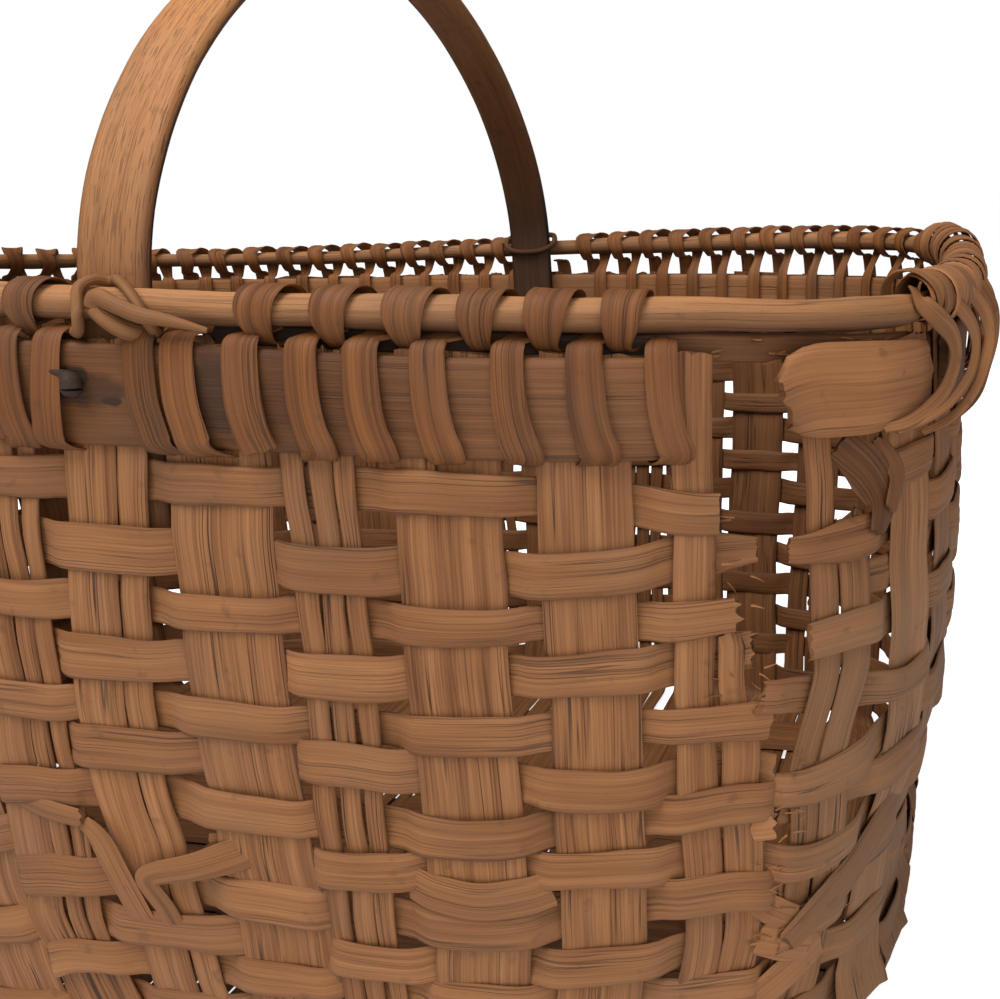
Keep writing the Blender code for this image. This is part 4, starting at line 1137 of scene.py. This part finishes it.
def roll_part(wall, seed):
    """The close roll: a helix about the rod, whose place moves on evenly, with a radius that
    wanders, so that its turns overlap. It is thicker and stands higher towards its end."""
    start, end, turns, gap = ROLL
    angle = np.linspace(0, 2 * math.pi * turns, int(turns * ROLL_STEPS))
    place = start + (end - start) * angle / angle[-1]
    reach = (ROD_RADIUS + gap) * (1 + wander(place, (seed, 5), 0.7, 0.1))
    reach = reach * np.interp(place, (start, start + 0.5, end - 1.8, end - 1, end - 0.3, end),
                              (0.9, 1, 1, 1.12, 1.12, 0.95))
    middle = np.interp(place, ROLL_PLACES, ROLL_SHIFTS)
    raised = np.interp(place, (end - 1.8, end - 0.8), (0.001, 0.0026))
    width = ROLL_WIDTH + wander(place, (seed, 6), 0.5, ROLL_WIDTH_SPREAD)
    line = wall.point(place, ROD_HEIGHT + raised + reach * np.cos(angle),
                      middle + reach * np.sin(angle))
    tone = 0.66 + wander(place, (seed, 7), 0.3, 0.24)
    return ribbon(line, wall.along(place), width, LASH_THICKNESS, seed=seed, tone=tone,
                  ragged=(0.001, 0.001), ridge=0.0002, edge_tone=-0.25)


def lash_ribbon(wall, stations, seed, ragged=(0.001, 0.001)):
    """A lashing splint through its stations."""
    route = smooth_line(stations, 4)
    line = wall.point(route[:, 0], ROD_HEIGHT + route[:, 2], route[:, 1])
    width = route[:, 3] * (1 + wander(route[:, 0], (seed, 1), 1.3, 0.1))
    tone = (np.interp(route[:, 0] % STAKES, LASH_PLACES, LASH_TONES)
            + wander(route[:, 0], (seed, 2), 3.0, 0.09) + wander(route[:, 0], (seed, 3), 0.9, 0.07))
    return ribbon(line, wall.along(route[:, 0]), width, LASH_THICKNESS, seed=seed, tone=tone,
                  ragged=ragged, ridge=0.0002, edge_tone=-0.1)


def lash_part(sizes, wall, turns, wraps, seed):
    """One splint wound round rod and bands in a figure of eight, up to its last outer strip."""
    stations = []
    for place, ahead, wrap in zip(turns, turns[1:], wraps):
        stations += lash_turn(place, ahead, wrap, sizes)
    return lash_ribbon(wall, stations + lash_strip(turns[-1], sizes), seed)


class BASKET_OT_lashing(bpy.types.Operator):
    """Build the lashing splints that bind the rod and the bands."""

    bl_idname = "basket.lashing"
    bl_label = "Lashing"

    def execute(self, context):
        sizes = context.scene.basket_sizes
        wall = Wall(sizes)
        material = wood("Lashing splint", sizes.lash_light, sizes.lash_dark, 3.6, 0.8,
                        weathering=0.3)
        for number, (node, turns) in enumerate(LASH_TURNS.items()):
            seed = 300 + number
            wraps = NEAR_WRAPS
            if node != "lashing_near_right":
                spread = np.random.default_rng(seed).uniform(-0.04, 0.04, len(turns))
                ways = np.interp(turns, LASH_PLACES, WRAP_WAYS) + spread
                wraps = [place + (ahead - place) * way
                         for place, ahead, way in zip(turns, turns[1:], ways)]
            parts = [lash_part(sizes, wall, turns, wraps, seed)]
            if node == "lashing_near_right":
                parts += [lash_ribbon(wall, [(0.66, -0.004, -0.0375, 0.007),
                                             (0.66, 0.0005, -0.0379, 0.008)]
                                      + lash_strip(0.44, sizes), 320),
                          lash_ribbon(wall, [(1.0, -0.004, -0.0375, 0.007),
                                             (1.0, 0.0005, -0.0379, 0.008)]
                                      + lash_strip(0.76, sizes), 321)]
            if node == "lashing_right":
                loop = [(place, offset / 1000, height / 1000, width / 1000)
                        for place, offset, height, width in OPEN_LOOP]
                roll = [roll_part(wall, 330), lash_ribbon(wall, loop, 331)]
                roll += [splint(wall, strip, FAN_WIDTHS * (0.7 if turn else 1), LASH_THICKNESS,
                                332 + turn, 0.56 + 0.1 * (turn % 3 - 1),
                                turned=0.3 + 0.25 * min(turn, 3), edge_tone=-0.3)
                         for turn, strip in enumerate(FAN)]
                add_piece("lash_roll", roll, wood("Roll splint", sizes.splint_light,
                                                  sizes.splint_dark, 3.4, 0.6), ())
            add_piece(node.replace("lashing", "lash_splint"), parts, material, [node])
        return {"FINISHED"}


# Handle's ties and nails

# Stations of place from the leg's middle, height and offset in mm
NEAR_TIE = ((1.05, 230.2, 6.2), (0.9, 231.6, 7.4), (0.73, 232.8, 8.2), (0.55, 233.9, 9.0),
            (0.36, 236.4, 9.6), (0.24, 238.0, 9.2), (0.18, 235.6, 8.4), (0.28, 231.8, 7.6),
            (0.38, 229.0, 5.0), (0.4, 228.4, 0.0), (0.42, 231.0, -5.0), (0.38, 233.5, -8.6),
            (0.24, 234.2, -11.5), (0.0, 234.4, -11.8), (-0.24, 234.2, -11.5), (-0.38, 233.5, -8.6),
            (-0.36, 231.0, -5.0), (-0.22, 228.4, 0.0), (-0.06, 229.0, 5.0), (-0.02, 234.2, 6.4),
            (-0.04, 239.4, 4.4), (0.0, 241.4, 0.8), (0.06, 240.9, -2.4), (0.13, 241.2, -2.4),
            (0.23, 241.5, 0.8), (0.38, 239.8, 4.6), (0.5, 236.0, 6.4), (0.56, 231.6, 6.0),
            (0.54, 228.8, 2.6))
FAR_TIE = ((0.0, 230.0, 5.0), (-0.02, 236.0, 6.2), (-0.08, 241.8, 4.0), (-0.24, 242.2, 0.8),
           (-0.35, 241.4, -3.6), (-0.38, 238.2, -8.2), (-0.24, 235.2, -11.5), (0.0, 234.4, -11.8),
           (0.24, 235.2, -11.5), (0.38, 238.2, -8.2), (0.36, 241.6, -3.2), (0.2, 242.4, 2.5),
           (0.12, 238.0, 6.2), (0.1, 231.0, 5.4))
NEAR_NAIL = ((-0.155, 216.5, -10.6), (-0.155, 216.5, -2.0), (-0.24, 217.2, 2.8),
             (-0.34, 218.2, 4.6), (-0.3, 218.6, 6.0), (-0.19, 218.2, 6.8), (-0.12, 216.8, 7.2),
             (-0.105, 214.8, 7.4), (-0.11, 212.6, 7.2))
FAR_NAIL = ((-0.155, 216.5, -10.6), (-0.155, 216.5, 0.0), (-0.155, 216.5, 4.2),
            (-0.155, 216.5, 4.9))


def nail_part(wall, side, stations):
    """A forged nail: a round shank on a smooth line, and a head at its outer end, which is flat
    and domed, or beaten into a bulb where the nail is bent over."""
    line = wall.route(stations, 5, side)[1]
    left = run_length(line)[-1] - run_length(line)
    if side:
        radius = np.where(left < 0.0009, 0.0028 * np.sqrt(np.clip(left / 0.0009, 0.05, 1)), 0.0011)
    else:
        radius = np.interp(left, (0, 0.0005, 0.0016, 0.0042, 0.0062, 0.0075),
                           (0.0007, 0.0019, 0.0026, 0.0026, 0.0016, 0.0011))
    return rod_part(line, radius, 71, 0.5, sides=12)


class BASKET_OT_fixings(bpy.types.Operator):
    """Build the splints that tie the handle to the rod, and the nails through its legs."""

    bl_idname = "basket.fixings"
    bl_label = "Handle ties and nails"

    def execute(self, context):
        sizes = context.scene.basket_sizes
        wall = Wall(sizes)
        cord = wood("Tie splint", sizes.rod_light, sizes.rod_dark, 3.0, 0.6, weathering=0.3)
        iron = rusty_iron()
        for name, side, stations, nail, radii in (
                ("near", 0.0, NEAR_TIE, NEAR_NAIL, (0.7, 2.1, 2.4, 1.7, 1.4, 1.4)),
                ("far", STAKES / 2, FAR_TIE, FAR_NAIL, (1.3, 1.3, 1.3, 1.3, 1.3, 1.0))):
            line = wall.route(stations, 6, side)[1]
            share = np.linspace(0, 1, len(line))
            radius = np.interp(share, (0, 0.1, 0.25, 0.4, 0.7, 1), radii) / 1000
            # The tie's top is painted a little lighter and its underside darker: painted highlight
            # and painted shade
            tie = rod_part(line, radius, 72, (0.06 if side else 0.4) + wander(share, 73, 0.4, 0.06),
                           sides=12, painted_top_light=0.1)
            add_piece(f"{name}_tie", [tie], cord, [f"handle_tie_{name}"])
            add_piece(f"{name}_nail", [nail_part(wall, side, nail)], iron,
                      [f"handle_nail_{name}"])
        return {"FINISHED"}


# Handle

HANDLE_RISE = 0.114
HANDLE_EXPONENT = 1.8
HANDLE_TAIL = 0.030
HANDLE_GAP = 0.0003
# The arch is darker at its feet and lighter towards its top, a painted highlight: its tone grows by
# this much over these heights
HANDLE_PAINTED_HIGHLIGHT = 0.75
HANDLE_HIGHLIGHT_START, HANDLE_HIGHLIGHT_SPAN = 0.25, 0.09


def handle_line(sizes, wall):
    """Tail and leg down the near wall's inside, an arch whose shares of span and rise are powers
    of the cosine and sine, and the far leg."""
    inset = ROD_RADIUS + HANDLE_GAP + sizes.handle_thickness / 2
    heights = np.linspace(BAND_BOTTOM - HANDLE_TAIL, ROD_HEIGHT, 16)
    near = wall.point(0.0, heights, -inset)
    far = wall.point(float(STAKES // 2), heights, -inset)
    angle = np.linspace(0, math.pi, 90)[1:-1]
    span, power = -near[-1, 1], 2 / HANDLE_EXPONENT
    arch = np.stack([np.zeros_like(angle),
                     -span * np.sign(np.cos(angle)) * np.abs(np.cos(angle)) ** power,
                     ROD_HEIGHT + HANDLE_RISE * np.sin(angle) ** power], axis=1)
    return np.concatenate([near, arch, far[::-1]])


class BASKET_OT_handle(bpy.types.Operator):
    """Build the bent hoop, whose legs run down inside the rod and the bands."""

    bl_idname = "basket.handle"
    bl_label = "Handle"

    def execute(self, context):
        sizes = context.scene.basket_sizes
        line = handle_line(sizes, Wall(sizes))
        material = wood("Handle wood", sizes.handle_light, sizes.handle_dark, 2.2, 0.35, 0.45,
                        weathering=0.3, specular=0.45)
        length = np.linspace(0, 0.5, len(line))
        width = sizes.handle_width + wander(length, 41, 0.2, 0.0003)
        highlight_share = np.clip((line[:, 2] - HANDLE_HIGHLIGHT_START) / HANDLE_HIGHLIGHT_SPAN, 0, 1)
        tone = 0.44 + wander(length, 43, 0.3, 0.04) + HANDLE_PAINTED_HIGHLIGHT * highlight_share
        part = ribbon(line, np.array([1.0, 0.0, 0.0]), width, sizes.handle_thickness, seed=42,
                      tone=tone, faces_across=12, ridge=0.00015, normal_tone=-0.5,
                      edge_tone=-0.22)
        add_piece("handle_hoop", [part], material, ["hoop_handle"])
        return {"FINISHED"}


# Stage

AMBIENT = 0.245
FLOOR_REACH = 6.0
FLOOR_DROP = 0.0002
FLOOR_GLOW = 0.8
# Name, place, size and power of each light
LIGHTS = (("Top light", (-0.25, -0.85, 1.6), 1.1, 30.0),
          ("Front light", (1.05, -1.65, 0.7), 1.2, 11.5))
CAMERA_PLACE = (0.22184, -0.44338, 0.2663)
CAMERA_YAW = math.radians(6.943)
CAMERA_PITCH = math.radians(14.377)
CAMERA_ROLL = math.radians(1.036)
CAMERA_LENS = 43.2
CAMERA_SHIFT = -0.32


def add_light(name, place, size, power, aim=(0.05, 0.0, 0.15)):
    """A square area light that faces the aim."""
    data = bpy.data.lights.new(name, "AREA")
    data.size = size
    data.energy = power
    light = bpy.data.objects.new(name, data)
    light.location = place
    direction = np.array(aim) - np.array(place)
    light.rotation_euler = (math.atan2(math.hypot(direction[0], direction[1]), -direction[2]), 0.0,
                            math.atan2(direction[1], direction[0]) - math.pi / 2)
    bpy.context.scene.collection.objects.link(light)


class BASKET_OT_stage(bpy.types.Operator):
    """Build the pale floor, the soft lights and the camera."""

    bl_idname = "basket.stage"
    bl_label = "Stage"

    def execute(self, context):
        scene = context.scene
        mesh = bpy.data.meshes.new("floor")
        mesh.from_pydata([(x * FLOOR_REACH, y * FLOOR_REACH, 0) for x, y in
                          ((-1, -1), (1, -1), (1, 1), (-1, 1))], [], [(0, 1, 2, 3)])
        floor = bpy.data.objects.new("floor", mesh)
        floor.location.z = -FLOOR_DROP
        pale = bpy.data.materials.new("Pale floor")
        pale.use_nodes = True
        shader = pale.node_tree.nodes["Principled BSDF"]
        shader.inputs["Base Color"].default_value = (0.9, 0.9, 0.9, 1.0)
        shader.inputs["Roughness"].default_value = 0.9
        shader.inputs["Emission Color"].default_value = (1.0, 1.0, 1.0, 1.0)
        seen = pale.node_tree.nodes.new("ShaderNodeLightPath").outputs["Is Camera Ray"]
        glow = math_node(pale.node_tree, "MULTIPLY", seen, FLOOR_GLOW)
        pale.node_tree.links.new(glow, shader.inputs["Emission Strength"])
        mesh.materials.append(pale)
        scene.collection.objects.link(floor)
        world = bpy.data.worlds.new("Studio")
        world.use_nodes = True
        tree = world.node_tree
        seen = tree.nodes.new("ShaderNodeLightPath").outputs["Is Camera Ray"]
        tree.nodes["Background"].inputs["Color"].default_value = (1.0, 1.0, 1.0, 1.0)
        tree.links.new(ranged(tree, seen, 0.0, 1.0, AMBIENT, 1.0),
                       tree.nodes["Background"].inputs["Strength"])
        scene.world = world
        for name, place, size, power in LIGHTS:
            add_light(name, place, size, power)
        data = bpy.data.cameras.new("Camera")
        data.lens = CAMERA_LENS
        data.shift_x = CAMERA_SHIFT
        data.clip_start = 0.02
        camera = bpy.data.objects.new("Camera", data)
        camera.matrix_world = (Matrix.Translation(CAMERA_PLACE)
                               @ Matrix.Rotation(CAMERA_YAW, 4, "Z")
                               @ Matrix.Rotation(math.pi / 2 - CAMERA_PITCH, 4, "X")
                               @ Matrix.Rotation(CAMERA_ROLL, 4, "Z"))
        scene.collection.objects.link(camera)
        scene.camera = camera
        scene.view_settings.view_transform = "Standard"
        return {"FINISHED"}


# Panel and registration

OPERATORS = (BASKET_OT_stakes, BASKET_OT_weavers, BASKET_OT_rim_bands, BASKET_OT_rim_rod,
             BASKET_OT_lashing, BASKET_OT_handle, BASKET_OT_fixings, BASKET_OT_stage)


class BASKET_PT_panel(bpy.types.Panel):
    """Sizes, colours and building steps of the basket."""

    bl_label = "Foraging basket"
    bl_space_type = "VIEW_3D"
    bl_region_type = "UI"
    bl_category = "Basket"

    def draw(self, context):
        """List the sizes and colours, then the building steps."""
        for name in BasketSizes.__annotations__:
            self.layout.prop(context.scene.basket_sizes, name)
        for operator in OPERATORS:
            self.layout.operator(operator.bl_idname)


CLASSES = (BasketSizes, *OPERATORS, BASKET_PT_panel)


def register():
    """Register the classes and hang the sizes on the scene."""
    for item in CLASSES:
        bpy.utils.register_class(item)
    bpy.types.Scene.basket_sizes = bpy.props.PointerProperty(type=BasketSizes)


def unregister():
    """Take the sizes and the classes away again."""
    del bpy.types.Scene.basket_sizes
    for item in reversed(CLASSES):
        bpy.utils.unregister_class(item)


def main():
    """Build every piece."""
    register()
    for operator in OPERATORS:
        group, name = operator.bl_idname.split(".")
        getattr(getattr(bpy.ops, group), name)()


if __name__ == "__main__":
    main()
